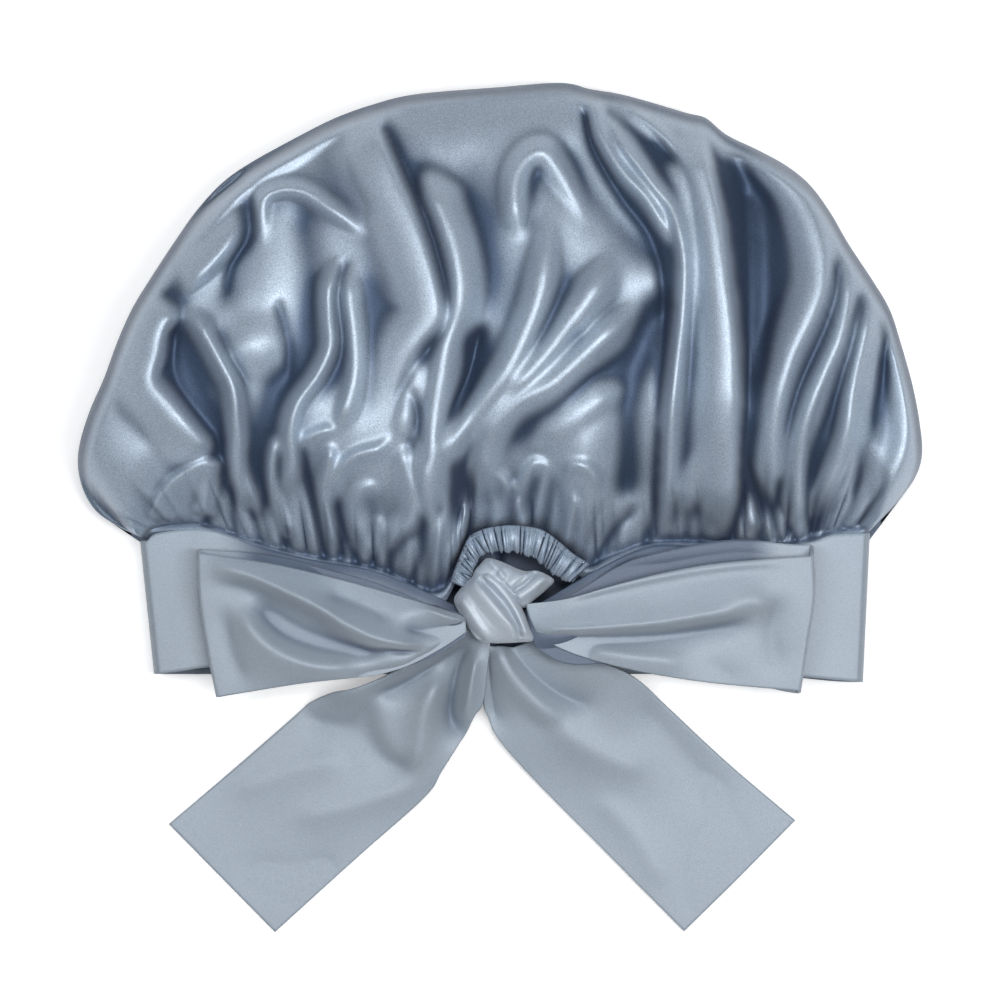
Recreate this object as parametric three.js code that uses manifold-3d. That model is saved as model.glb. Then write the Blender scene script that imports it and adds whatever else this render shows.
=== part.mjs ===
// A satin hair bonnet with a wide tie band, lying on its back on a flat surface, its band tied in a bow.
// Millimetres, +Z up. +Y runs from the bow to the far rim of the crown, and +X is the right seen from above.
// While it is built, y = 0 is the seam at the sides of the band and x = 0 is the middle of the band.

import * as THREE from "three";
import { mergeVertices } from "three/addons/utils/BufferGeometryUtils.js";
import Module from "manifold-3d";

const wasm = await Module();
wasm.setup();

// Cloth, drawn thicker than real satin so that every layer is a sound solid
const CLEARANCE = 0.3;
const CROWN_CLOTH = 1.2;
const BAND_LEAF = 0.9;
const TIE_CLOTH = 1.6;

// Headband: a strip folded along its lower edge, with the crown's edge sewn between its two leaves
const BAND_SPAN = 281;
const BAND_HEIGHT = 54;
const FOLD_RADIUS = 6;
const FRONT_RISE = 12;
const SEAM_ALLOWANCE = 8;
const DRAW_IN_SPAN = 200;
const NECK_HEIGHT = 18;
const LEFT_NECK_DROP = 32;
const RIGHT_NECK_DROP = 27;

// Crown: a gathered disc of satin, puffed up
const CROWN_WIDTH = 323;
const CROWN_REACH = 172;
const CROWN_LOFT = 68;
const RIM_HEIGHT = 24;
const WIDEST_ABOVE_SEAM = 34;
const LOFTIEST_ABOVE_SEAM = 62;
const LEFT_FULLNESS = 1.75;
const RIGHT_FULLNESS = 2.2;
const FAR_ROUNDNESS = 2.4;
const SIDE_ROUNDNESS = 0.5;
const UNDER_ROUNDNESS = 6;
const UNDER_FLATNESS = 1.15;

// Main folds of the crown. Each runs through points given as shares of half the crown's width and of its reach,
// and stands up by a share of FOLD_RISE, or sinks where that is negative, over a share of FOLD_SPREAD to each side.
const FOLD_RISE = 10;
const FOLD_SPREAD = 16;
const FOLD_FADE = 0.4;
const FOLD_SEAM_FADE = 0.36;
const MAIN_FOLDS = {
  longFold: { rise: 0.6, spread: 1.2, along: [[-0.25, 0.81], [-0.14, 0.5], [-0.28, 0.22]] },
  pinchOverKnot: { rise: -1.2, spread: 1, along: [[-0.06, 0.46], [-0.1, 0.3], [-0.12, 0.06]] },
  slantingFolds: { rise: 0.5, spread: 1.2, along: [[0.24, 0.52], [0.14, 0.42], [-0.02, 0.3]] },
  pillar: { rise: 0.6, spread: 0.8, along: [[0.5, 0.52], [0.55, 0.4], [0.56, 0.25]] },
  hollowLeftOfPillar: { rise: -0.8, spread: 1, along: [[0.36, 0.6], [0.3, 0.3], [0.28, 0.07]] },
  hollowInPillar: { rise: -0.5, spread: 0.7, along: [[0.42, 0.56], [0.45, 0.34], [0.45, 0.2]] },
  hollowRightOfPillar: { rise: -0.8, spread: 0.8, along: [[0.6, 0.76], [0.61, 0.5], [0.6, 0.26]] },
  leftRidge: { rise: 0.6, spread: 1, along: [[-0.4, 0.28], [-0.36, 0.14], [-0.22, 0.12]] },
  leftHollow: { rise: -0.9, spread: 0.9, along: [[-0.42, 0.68], [-0.47, 0.5], [-0.54, 0.25]] },
  leftCornerHollow: { rise: -0.8, spread: 0.7, along: [[-0.76, 0.42], [-0.72, 0.3], [-0.7, 0.2]] },
};

// Elastic at the front, in a ruched casing that arches over the knot
const ARCH_LEFT = -28;
const ARCH_RIGHT = 38;
const ARCH_RISE = 19;
const CASING_HEIGHT = 9;
const CASING_BORE = 1.7;
const CASING_WALL = 0.7;
const CASING_SQUARENESS = 0.7;
const RUCHES = 15;
const RUCHE_DEPTH = 0.6;
const ELASTIC_WIDTH = 6;
const ELASTIC_THICKNESS = 1;
const THREAD_DIAMETER = 0.7;
const THREAD_INSET = 2.2;
const THREAD_END_SHARE = 0.04;

// Knot: a core of gathered tie ends inside a wrap, both oval and turned about a tilted axis
const KNOT_X = -0.75;
const KNOT_DROP = 29.6;
const KNOT_LIFT = 2;
const KNOT_ACROSS = 29;
const KNOT_DEPTH = 23;
const KNOT_TILT = 32.7;
const WRAP_WIDTH = 21;
const WRAP_CLOTH = 2.2;
const WRAP_CROWNING = 1.8;
const CORE_END = 3.5;
const CORE_BEVEL = 0.6;
const CORE_TIP_SHARE = 0.6;
const CORE_SHOULDER_SHARE = 0.9;
const WRAP_SHOULDER_SHARE = 0.3;

// Loops of the bow, each a strip folded back on itself
const TIE_WIDTH = 55;
const LOOP_ROOT = 27;
const LEFT_LOOP_REACH = 112;
const RIGHT_LOOP_REACH = 119;
const LOOP_DROP = 34;
const LOOP_OPENING = 8;
const LOOP_NECK = 12;
const LOOP_PLEAT = 3;
const LOOP_FLARE_FROM = 0.4;
const LOOP_FLARE_TO = 1.02;
const LOOP_THROAT_SHARE = 0.25;

// Tails of the bow
const TAIL_WIDTH = 57;
const LEFT_TAIL_LENGTH = 133.5;
const RIGHT_TAIL_LENGTH = 125.5;
const LEFT_TAIL_SPLAY = 42.6;
const RIGHT_TAIL_SPLAY = 46.9;
const TAIL_NECK = 10;
const TAIL_GAP = 8;
const TAIL_HINGE = 16;
const TAIL_SPREAD = 70;
const TAIL_LANDING = 78;
const TAIL_DROP = 12;
const TAIL_SINK = 5;
const TAIL_THROAT_SHARE = 1 / 3;

// A folded strip turns over between these shares of its length
const TURN_FROM = 0.4;
const TURN_TO = 0.6;

// Steps of the curved surfaces
const CROWN_FRONT_STEPS = 54;
const CROWN_TURN_STEPS = 5;
const CROWN_BACK_STEPS = 5;
const CROWN_TURN_REACH = 1.2;
const CROWN_LOW_RING = 0.45;
const CROWN_RINGS = [0.2, 0.42, 0.64, 0.82, 0.94, 1];
const BAND_STEPS = 36;
const BAND_LEAF_STEPS = 2;
const BAND_FOLD_STEPS = 4;
const CASING_SIDES = 12;
const RUCHE_STEPS = 3;
const ELASTIC_STEPS = 24;
const ELASTIC_WIDTH_STEPS = 3;
const THREAD_POINTS = 16;
const THREAD_STEPS = 40;
const THREAD_SIDES = 6;
const LEAF_STEPS = 10;
const LOOP_TURN_STEPS = 6;
const TAIL_STEPS = 14;
const LOOP_WIDTH_STEPS = 8;
const TAIL_WIDTH_STEPS = 4;
const THROAT_STEPS = 6;
const THROAT_WIDTH_STEPS = 2;
const KNOT_SIDES = 28;

const halfSpan = BAND_SPAN / 2;
const leafOffset = CROWN_CLOTH / 2 + CLEARANCE + BAND_LEAF / 2;
const bandThickness = 2 * leafOffset + BAND_LEAF;
const throatThickness = 2 * TIE_CLOTH + CLEARANCE;
const casingHalfDepth = CASING_BORE / 2 + CASING_WALL;

const lerp = THREE.MathUtils.lerp;
const ease = (value, from, to) => THREE.MathUtils.smoothstep(value, from, to);
const vector = (x, y, z) => new THREE.Vector3(x, y, z);
const clamp = THREE.MathUtils.clamp;

// Even steps between two values, with both ends
function steps(count, from = 0, to = 1) {
  return Array.from({ length: count + 1 }, (_, i) => lerp(from, to, i / count));
}

// How far a folded strip has turned over at a share of its length, and how far it has come back from the turn
const turnedOver = (share) => Math.PI * clamp((share - TURN_FROM) / (TURN_TO - TURN_FROM), 0, 1);
const fromTurn = (share) => clamp(share < TURN_TO ? 1 - share / TURN_FROM : (share - TURN_TO) / (1 - TURN_TO), 0, 1);

// Colours of the satin: the crown's face is glossy, the band and ties are more matt
const satinGloss = new THREE.MeshStandardMaterial({ color: 0x8c9bad, roughness: 0.32, metalness: 0.25 });
const satinMatt = new THREE.MeshStandardMaterial({ color: 0xa5b2c0, roughness: 0.5, metalness: 0.1 });
const elasticWhite = new THREE.MeshStandardMaterial({ color: 0xd9dde0, roughness: 0.8, metalness: 0 });
const threadBlue = new THREE.MeshStandardMaterial({ color: 0x7b8a9e, roughness: 0.7, metalness: 0 });

// Turns a closed surface's faces outwards
function facingOut(geometry) {
  const position = geometry.attributes.position;
  const index = geometry.index.array;
  const corner = (k) => new THREE.Vector3().fromBufferAttribute(position, index[k]);
  let volume = 0;
  for (let k = 0; k < index.length; k += 3) {
    volume += corner(k).dot(corner(k + 1).cross(corner(k + 2)));
  }
  if (volume < 0) {
    for (let k = 0; k < index.length; k += 3) {
      [index[k + 1], index[k + 2]] = [index[k + 2], index[k + 1]];
    }
  }
  geometry.computeVertexNormals();
  return geometry;
}

// Steps along a folded strip: out to the turn, round it and back
function foldedSteps(leafSteps, turnSteps) {
  const turn = steps(turnSteps, TURN_FROM, TURN_TO).slice(1, -1);
  return [...steps(leafSteps, 0, TURN_FROM), ...turn, ...steps(leafSteps, TURN_TO, 1)];
}

// A sheet of cloth of even thickness about a surface given as surface(u, v).
// With ring, u closes on itself. With pole, the surface comes to one point at the last v.
function clothSheet(surface, us, vs, thickness, { ring = false, pole = false } = {}) {
  const nudge = 1e-4;
  const columns = us.length;
  const rows = vs.length;
  const points = [];
  for (const side of [0.5, -0.5]) {
    for (const u of us) {
      for (const v of vs) {
        const isPole = pole && v === vs[rows - 1];
        const vLow = isPole ? v - nudge : Math.max(v - nudge, vs[0]);
        const vHigh = isPole ? v - nudge / 2 : Math.min(v + nudge, vs[rows - 1]);
        const uLow = ring ? u - nudge : Math.max(u - nudge, Math.min(us[0], us[columns - 1]));
        const uHigh = ring ? u + nudge : Math.min(u + nudge, Math.max(us[0], us[columns - 1]));
        const vMid = isPole ? v - nudge : v;
        const alongU = surface(uHigh, vMid).sub(surface(uLow, vMid));
        const alongV = surface(u, vHigh).sub(surface(u, vLow));
        const normal = isPole ? alongV.normalize() : alongU.cross(alongV).normalize();
        points.push(surface(u, v).addScaledVector(normal, side * thickness));
      }
    }
  }
  const lastRow = rows - 1;
  const outer = (i, j) => (pole && j === lastRow ? lastRow : (i % columns) * rows + j);
  const inner = (i, j) => columns * rows + outer(i, j);
  const faces = [];
  const quad = (a, b, c, d) => {
    if (a !== b) faces.push(a, b, c);
    if (c !== d) faces.push(a, c, d);
  };
  const spans = ring ? columns : columns - 1;
  for (let i = 0; i < spans; i += 1) {
    for (let j = 0; j < lastRow; j += 1) {
      quad(outer(i, j), outer(i + 1, j), outer(i + 1, j + 1), outer(i, j + 1));
      quad(inner(i, j + 1), inner(i + 1, j + 1), inner(i + 1, j), inner(i, j));
    }
    quad(outer(i + 1, 0), outer(i, 0), inner(i, 0), inner(i + 1, 0));
    if (!pole) quad(outer(i, lastRow), outer(i + 1, lastRow), inner(i + 1, lastRow), inner(i, lastRow));
  }
  for (let j = 0; j < lastRow && !ring; j += 1) {
    const end = columns - 1;
    quad(outer(0, j), outer(0, j + 1), inner(0, j + 1), inner(0, j));
    quad(outer(end, j + 1), outer(end, j), inner(end, j), inner(end, j + 1));
  }
  const used = [...new Set(faces)].sort((a, b) => a - b);
  const renumber = new Map(used.map((old, fresh) => [old, fresh]));
  const geometry = new THREE.BufferGeometry();
  const flat = used.flatMap((k) => points[k].toArray());
  geometry.setAttribute("position", new THREE.Float32BufferAttribute(flat, 3));
  geometry.setIndex(faces.map((k) => renumber.get(k)));
  return facingOut(geometry);
}

// Merges a geometry's shared corners and drops its empty triangles
function welded(geometry) {
  const bare = geometry.clone();
  bare.deleteAttribute("normal");
  bare.deleteAttribute("uv");
  const merged = mergeVertices(bare, 1e-4);
  const index = merged.index.array;
  const faces = [];
  for (let k = 0; k < index.length; k += 3) {
    const [a, b, c] = [index[k], index[k + 1], index[k + 2]];
    if (a !== b && b !== c && c !== a) faces.push(a, b, c);
  }
  merged.setIndex(faces);
  return facingOut(merged);
}

function asSolid(geometry) {
  const merged = welded(geometry);
  return new wasm.Manifold(new wasm.Mesh({
    numProp: 3,
    vertProperties: Float32Array.from(merged.attributes.position.array),
    triVerts: Uint32Array.from(merged.index.array),
  }));
}

// What is left of a piece outside the knot, keeping the side that runs away from it
function trimmedByKnot(geometry) {
  const left = asSolid(geometry).subtract(asSolid(knotEnvelope())).decompose();
  left.sort((a, b) => b.volume() - a.volume());
  const mesh = left[0].getMesh();
  const trimmed = new THREE.BufferGeometry();
  trimmed.setAttribute("position", new THREE.Float32BufferAttribute(Array.from(mesh.vertProperties), 3));
  trimmed.setIndex(Array.from(mesh.triVerts));
  return facingOut(trimmed);
}

// The band's loop seen along Y: flat at the back, turned over at both sides, rising to the knot in front
function foldBow(x) {
  const past = Math.max(0, Math.abs(x) - (halfSpan - FOLD_RADIUS));
  return Math.sqrt(Math.max(0, FOLD_RADIUS ** 2 - past ** 2));
}

function frontMid(x) {
  return bandThickness / 2 + FOLD_RADIUS + foldBow(x) + FRONT_RISE * (1 - (x / halfSpan) ** 2);
}

function backMid(x) {
  return bandThickness / 2 + FOLD_RADIUS - foldBow(x);
}

const bandTop = (x) => frontMid(x) + bandThickness / 2;
const isFront = (angle) => Math.sin(angle) >= 0;

function bandLoop(angle) {
  const x = halfSpan * Math.cos(angle);
  return new THREE.Vector2(x, isFront(angle) ? frontMid(x) : backMid(x));
}

function bandNormal(angle) {
  const nudge = 1e-3;
  const along = bandLoop(angle + nudge).sub(bandLoop(angle - nudge)).normalize();
  return new THREE.Vector2(along.y, -along.x);
}

// Upper and lower edge of the band: level at the back and sides, drawn in to the knot in front
function bandEdges(x, front) {
  const drop = x < KNOT_X ? LEFT_NECK_DROP : RIGHT_NECK_DROP;
  const drawn = front ? 1 - ease(Math.abs(x - KNOT_X), WRAP_WIDTH / 2, DRAW_IN_SPAN / 2) : 0;
  return {
    top: lerp(0, -drop + NECK_HEIGHT / 2, drawn),
    bottom: lerp(-BAND_HEIGHT, -drop - NECK_HEIGHT / 2, drawn),
  };
}

const seamY = (x) => bandEdges(x, true).top;

// One half of the headband, from the join at the middle of the back round the side to the knot
function headband(side) {
  const join = 1.5 * Math.PI + (side * CLEARANCE) / 2 / halfSpan;
  const knotEnd = Math.acos((KNOT_X + side) / halfSpan) + (side > 0 ? 2 * Math.PI : 0);
  const strip = (u, v) => {
    const angle = lerp(join, knotEnd, u);
    const centre = bandLoop(angle);
    const outward = bandNormal(angle);
    const { top, bottom } = bandEdges(centre.x, isFront(angle));
    const turn = turnedOver(v);
    const offset = leafOffset * Math.cos(turn);
    const foot = bottom + BAND_LEAF / 2 + leafOffset;
    const y = lerp(foot - leafOffset * Math.sin(turn), top, fromTurn(v));
    return vector(centre.x + outward.x * offset, y, centre.y + outward.y * offset);
  };
  const across = foldedSteps(BAND_LEAF_STEPS, BAND_FOLD_STEPS);
  return trimmedByKnot(clothSheet(strip, steps(BAND_STEPS), across, BAND_LEAF));
}

// The arch of the elastic, from its right end (0) to its left end (1), and its direction away from the knot
const archMid = (ARCH_LEFT + ARCH_RIGHT) / 2;
const archHalf = (ARCH_RIGHT - ARCH_LEFT) / 2;

function archPoint(t) {
  const x = archMid + archHalf * Math.cos(Math.PI * t);
  const foot = lerp(seamY(ARCH_RIGHT), seamY(ARCH_LEFT), t) + 2 * CLEARANCE;
  return vector(x, foot + ARCH_RISE * Math.sin(Math.PI * t), frontMid(x));
}

function archOutward(t) {
  const nudge = 1e-3;
  const along = archPoint(t + nudge).sub(archPoint(t - nudge));
  return vector(along.y, -along.x, 0).normalize();
}

const archPlace = (t, inset, lift) => {
  const place = archPoint(t).addScaledVector(archOutward(t), -inset);
  return place.setZ(place.z + lift);
};

function elasticCasing() {
  const halfHeight = CASING_HEIGHT / 2;
  const tube = (u, v) => {
    const around = 2 * Math.PI * u;
    const ruche = 0.5 + 0.5 * Math.cos(2 * Math.PI * RUCHES * v);
    const depth = casingHalfDepth - CASING_WALL / 2 + RUCHE_DEPTH * ruche;
    const squared = (value) => Math.sign(value) * Math.abs(value) ** CASING_SQUARENESS;
    const inset = halfHeight - (halfHeight - CASING_WALL / 2) * squared(Math.cos(around));
    return archPlace(v, inset, depth * squared(Math.sin(around)));
  };
  const around = steps(CASING_SIDES).slice(0, -1);
  return clothSheet(tube, around, steps(RUCHES * RUCHE_STEPS), CASING_WALL, { ring: true });
}

function elasticStrip() {
  const strip = (u, v) => archPlace(v, CASING_HEIGHT / 2 + ELASTIC_WIDTH * (u - 0.5), 0);
  return clothSheet(strip, steps(ELASTIC_WIDTH_STEPS), steps(ELASTIC_STEPS), ELASTIC_THICKNESS);
}

function casingThread() {
  const lift = casingHalfDepth + RUCHE_DEPTH + CLEARANCE + THREAD_DIAMETER / 2;
  const radius = THREAD_DIAMETER / 2;
  const shares = steps(THREAD_POINTS, THREAD_END_SHARE, 1 - THREAD_END_SHARE);
  const route = new THREE.CatmullRomCurve3(shares.map((t) => archPlace(t, THREAD_INSET, lift)));
  const section = new THREE.Shape(new THREE.EllipseCurve(0, 0, radius, radius).getPoints(THREAD_SIDES));
  return welded(new THREE.ExtrudeGeometry(section, { steps: THREAD_STEPS, extrudePath: route }));
}

// Half the crown's width and its upper height at a distance y above the seam
function crownHalfWidth(y, side) {
  if (y < WIDEST_ABOVE_SEAM) {
    const swell = Math.sin((Math.PI / 2) * Math.max(0, y / WIDEST_ABOVE_SEAM));
    return lerp(halfSpan, CROWN_WIDTH / 2, swell);
  }
  const fullness = side < 0 ? LEFT_FULLNESS : RIGHT_FULLNESS;
  const up = Math.min(1, (y - WIDEST_ABOVE_SEAM) / (CROWN_REACH - WIDEST_ABOVE_SEAM));
  return (CROWN_WIDTH / 2) * (1 - up ** fullness) ** (1 / fullness);
}

function crownTop(y) {
  if (y < LOFTIEST_ABOVE_SEAM) {
    return lerp(frontMid(0), CROWN_LOFT, Math.sin((Math.PI / 2) * Math.max(0, y / LOFTIEST_ABOVE_SEAM)));
  }
  const past = Math.min(1, (y - LOFTIEST_ABOVE_SEAM) / (CROWN_REACH - LOFTIEST_ABOVE_SEAM));
  return lerp(RIM_HEIGHT, CROWN_LOFT, Math.sqrt(1 - past ** FAR_ROUNDNESS));
}

// How far the main folds lift the crown at a place seen from above
const foldLines = Object.values(MAIN_FOLDS).map(({ rise, spread, along }) => {
  const points = along.map(([x, y]) => vector((x * CROWN_WIDTH) / 2, y * CROWN_REACH, 0));
  const pieces = points.slice(1).map((point, i) => new THREE.Line3(points[i], point));
  return { height: rise * FOLD_RISE, width: spread * FOLD_SPREAD, pieces };
});

function foldHeight(x, y) {
  const place = vector(x, y, 0);
  const nearest = vector(0, 0, 0);
  return foldLines.reduce((sum, { height, width, pieces }) => {
    const away = Math.min(...pieces.map((line) => line.closestPointToPoint(place, true, nearest).distanceTo(place)));
    return sum + height * Math.max(0, 1 - (away / width) ** 2) ** 2;
  }, 0);
}

// The puffed crown cut across at a distance y above the seam
function crownSlice(angle, y) {
  const middle = lerp(backMid(halfSpan), RIM_HEIGHT, ease(y, 0, WIDEST_ABOVE_SEAM));
  const x = crownHalfWidth(y, Math.cos(angle)) * Math.cos(angle);
  const rise = Math.abs(Math.sin(angle));
  if (!isFront(angle)) {
    const floor = CROWN_CLOTH / 2;
    const closing = Math.sqrt(1 - (y / CROWN_REACH) ** UNDER_ROUNDNESS);
    return vector(x, y, lerp(middle, floor, closing * Math.min(1, UNDER_FLATNESS * Math.sqrt(rise))));
  }
  const top = lerp(middle, crownTop(y) - CROWN_CLOTH / 2, rise ** SIDE_ROUNDNESS);
  const share = y / CROWN_REACH;
  const fade = ease(rise, 0, FOLD_FADE) * ease(1 - share, 0, FOLD_FADE) * ease(share, 0, FOLD_SEAM_FADE);
  return vector(x, y, top + fade * foldHeight(x, y));
}

// The line that the crown's edge is sewn to: the band's slot, and the outer edge of the elastic's casing
const archFrom = Math.acos((ARCH_RIGHT + CLEARANCE) / halfSpan);
const archTo = Math.acos((ARCH_LEFT - CLEARANCE) / halfSpan);

function crownEdge(angle) {
  const turned = THREE.MathUtils.euclideanModulo(angle, 2 * Math.PI);
  if (turned >= archFrom && turned <= archTo) {
    const chordSag = archHalf * (1 - Math.cos((Math.PI * Math.PI) / CROWN_FRONT_STEPS / (archTo - archFrom) / 2));
    const place = archPlace((turned - archFrom) / (archTo - archFrom), -CLEARANCE - chordSag, 0);
    return { place, depth: 0 };
  }
  const centre = bandLoop(turned);
  const { top } = bandEdges(centre.x, isFront(turned));
  return { place: vector(centre.x, top + 2 * CLEARANCE, centre.y), depth: SEAM_ALLOWANCE };
}

function crown() {
  const shell = (angle, y) => {
    const { place, depth } = crownEdge(angle);
    if (y < 0) return place.setY(place.y + (depth * y) / SEAM_ALLOWANCE);
    return place.lerp(crownSlice(angle, y), 2 * ease(y, -WIDEST_ABOVE_SEAM, WIDEST_ABOVE_SEAM) - 1);
  };
  const turn = Math.acos(1 - (CROWN_TURN_REACH * FOLD_RADIUS) / halfSpan);
  const angles = [
    ...steps(CROWN_FRONT_STEPS, 0, Math.PI),
    ...steps(CROWN_TURN_STEPS, Math.PI, Math.PI + turn).slice(1),
    ...steps(CROWN_BACK_STEPS, Math.PI + turn, 2 * Math.PI - turn).slice(1),
    ...steps(CROWN_TURN_STEPS, 2 * Math.PI - turn, 2 * Math.PI).slice(1, -1),
  ];
  const rings = CROWN_RINGS.map((share) => lerp(WIDEST_ABOVE_SEAM, CROWN_REACH, share));
  const heights = [-SEAM_ALLOWANCE, 0, CROWN_LOW_RING * WIDEST_ABOVE_SEAM, WIDEST_ABOVE_SEAM, ...rings];
  return clothSheet(shell, angles, heights, CROWN_CLOTH, { ring: true, pole: true });
}

// The knot's turned pieces: profiles are radius and distance along the knot's axis
const knotCentre = vector(KNOT_X, -KNOT_DROP, frontMid(KNOT_X) + KNOT_LIFT);
const wrapOuter = KNOT_ACROSS / 2;
const coreRadius = wrapOuter - WRAP_CROWNING - WRAP_CLOTH - CLEARANCE;
const coreHalf = WRAP_WIDTH / 2 + CORE_END;

function turnedKnotPiece(profile) {
  const turned = new THREE.LatheGeometry(profile.map(([r, y]) => new THREE.Vector2(r, y)), KNOT_SIDES);
  turned.scale(1, 1, KNOT_DEPTH / KNOT_ACROSS);
  turned.rotateZ(THREE.MathUtils.degToRad(KNOT_TILT - 90));
  turned.translate(knotCentre.x, knotCentre.y, knotCentre.z);
  return welded(turned);
}

function knotProfile(margin) {
  const end = coreHalf + margin;
  const shoulder = WRAP_WIDTH / 2 + margin;
  return { end, shoulder, core: coreRadius + margin, wrap: wrapOuter + margin };
}

function knotCore() {
  const { end, core } = knotProfile(0);
  const shoulder = end - CORE_END;
  const tip = [core * CORE_TIP_SHARE, end - CORE_BEVEL];
  const side = core * CORE_SHOULDER_SHARE;
  return turnedKnotPiece([
    [0, -end], [tip[0], -tip[1]], [side, -shoulder], [core, 0], [side, shoulder], tip, [0, end],
  ]);
}

function knotWrap() {
  const half = WRAP_WIDTH / 2;
  const bore = coreRadius + CLEARANCE;
  const edge = bore + WRAP_CLOTH;
  const low = wrapOuter - WRAP_CROWNING * WRAP_SHOULDER_SHARE;
  return turnedKnotPiece([
    [bore, -half], [edge, -half], [low, -half / 2], [wrapOuter, 0],
    [low, half / 2], [edge, half], [bore, half], [bore, -half],
  ]);
}

function knotEnvelope() {
  const { end, shoulder, core, wrap } = knotProfile(CLEARANCE);
  const tip = core * CORE_SHOULDER_SHARE;
  const half = [[wrap, shoulder], [core, shoulder], [tip, end], [0, end]];
  const mirrored = half.map(([radius, along]) => [radius, -along]).reverse();
  return turnedKnotPiece([...mirrored, ...half]);
}

// Height of a strip that lies on the front of the band, and half its height along Y at a distance from the knot
const onBand = (x, thickness) => bandTop(x) + CLEARANCE + thickness / 2;

function loopHalfHeight(distance, reach) {
  return lerp(LOOP_NECK, TIE_WIDTH, ease(distance, LOOP_ROOT * LOOP_FLARE_FROM, reach * LOOP_FLARE_TO)) / 2;
}

function loopThroat(side, reach) {
  const strip = (u, v) => {
    const distance = lerp(WRAP_WIDTH * LOOP_THROAT_SHARE, LOOP_ROOT, u);
    const x = KNOT_X + side * distance;
    const y = -LOOP_DROP + loopHalfHeight(distance, reach) * (2 * v - 1);
    return vector(x, y, onBand(x, throatThickness));
  };
  return trimmedByKnot(clothSheet(strip, steps(THROAT_STEPS), steps(THROAT_WIDTH_STEPS), throatThickness));
}

// A loop: its back leaf lies on the band, turns over at the far end and comes back as the front leaf
function bowLoop(side, reach) {
  const radius = LOOP_OPENING / 2;
  const straight = reach - radius;
  const root = LOOP_ROOT + CLEARANCE;
  const leafZ = (distance, front) => {
    const back = onBand(KNOT_X + side * distance, TIE_CLOTH);
    const apart = lerp(TIE_CLOTH + CLEARANCE, LOOP_OPENING, ease(distance, root, straight));
    return front ? back + apart : back;
  };
  const strip = (u, v) => {
    const turn = turnedOver(u);
    const front = turn > Math.PI / 2;
    const along = fromTurn(u);
    const distance = lerp(straight, root, along);
    const bulge = radius * Math.sin(turn);
    const z = along > 0 ? leafZ(distance, front) : leafZ(straight, false) + radius * (1 - Math.cos(turn));
    const pleat = front ? LOOP_PLEAT * Math.cos(Math.PI * (2 * v - 1)) * Math.sin(Math.PI * along) : 0;
    const y = -LOOP_DROP + loopHalfHeight(distance + bulge, reach) * (2 * v - 1);
    return vector(KNOT_X + side * (distance + bulge), y, z + Math.max(0, pleat));
  };
  return clothSheet(strip, foldedSteps(LEAF_STEPS, LOOP_TURN_STEPS), steps(LOOP_WIDTH_STEPS), TIE_CLOTH);
}

// A tail: it leaves the foot of the knot, comes down over the band's edge and lies on the surface
function tailStrip(side, splay) {
  const angle = THREE.MathUtils.degToRad(splay);
  const along = vector(side * Math.cos(angle), -Math.sin(angle), 0);
  const across = vector(side * Math.sin(angle), Math.cos(angle), 0);
  const aside = (TAIL_NECK / 2) * Math.sin(angle) + TAIL_GAP / 2;
  const start = vector(KNOT_X + side * aside, -KNOT_DROP - TAIL_DROP, 0);
  const high = frontMid(KNOT_X) - TAIL_SINK;
  return (distance, v) => {
    const width = lerp(TAIL_NECK, TAIL_WIDTH, Math.min(1, Math.max(0, distance / TAIL_SPREAD)));
    const z = lerp(high, TIE_CLOTH / 2, ease(distance, 0, TAIL_LANDING));
    return start.clone().addScaledVector(along, distance).addScaledVector(across, width * (v - 0.5)).setZ(z);
  };
}

function tailThroat(side, splay) {
  const us = steps(THROAT_STEPS, -WRAP_WIDTH * TAIL_THROAT_SHARE, TAIL_HINGE);
  return trimmedByKnot(clothSheet(tailStrip(side, splay), us, steps(THROAT_WIDTH_STEPS), TIE_CLOTH));
}

function bowTail(side, splay, length) {
  const us = steps(TAIL_STEPS, TAIL_HINGE + CLEARANCE, length);
  return clothSheet(tailStrip(side, splay), us, steps(TAIL_WIDTH_STEPS), TIE_CLOTH);
}

const bonnet = new THREE.Group();

function addPiece(name, geometry, material) {
  const mesh = new THREE.Mesh(geometry, material);
  mesh.name = name;
  bonnet.add(mesh);
}

addPiece("crown", crown(), satinGloss);
addPiece("headband_left", headband(-1), satinMatt);
addPiece("headband_right", headband(1), satinMatt);
addPiece("elastic_casing", elasticCasing(), satinGloss);
addPiece("elastic_strip", elasticStrip(), elasticWhite);
addPiece("casing_thread", casingThread(), threadBlue);
addPiece("knot_core", knotCore(), satinMatt);
addPiece("knot_wrap", knotWrap(), satinMatt);
addPiece("left_loop_throat", loopThroat(-1, LEFT_LOOP_REACH), satinMatt);
addPiece("right_loop_throat", loopThroat(1, RIGHT_LOOP_REACH), satinMatt);
addPiece("left_loop", bowLoop(-1, LEFT_LOOP_REACH), satinMatt);
addPiece("right_loop", bowLoop(1, RIGHT_LOOP_REACH), satinMatt);
addPiece("left_tail_throat", tailThroat(-1, LEFT_TAIL_SPLAY), satinMatt);
addPiece("right_tail_throat", tailThroat(1, RIGHT_TAIL_SPLAY), satinMatt);
addPiece("left_tail", bowTail(-1, LEFT_TAIL_SPLAY, LEFT_TAIL_LENGTH), satinMatt);
addPiece("right_tail", bowTail(1, RIGHT_TAIL_SPLAY, RIGHT_TAIL_LENGTH), satinMatt);

// The origin is under the middle of the whole bonnet, on the surface that it lies on
const extent = new THREE.Box3().setFromObject(bonnet);
const middle = extent.getCenter(vector(0, 0, 0));
bonnet.position.set(-middle.x, -middle.y, -extent.min.z);

export default bonnet;
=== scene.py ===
import math

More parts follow.
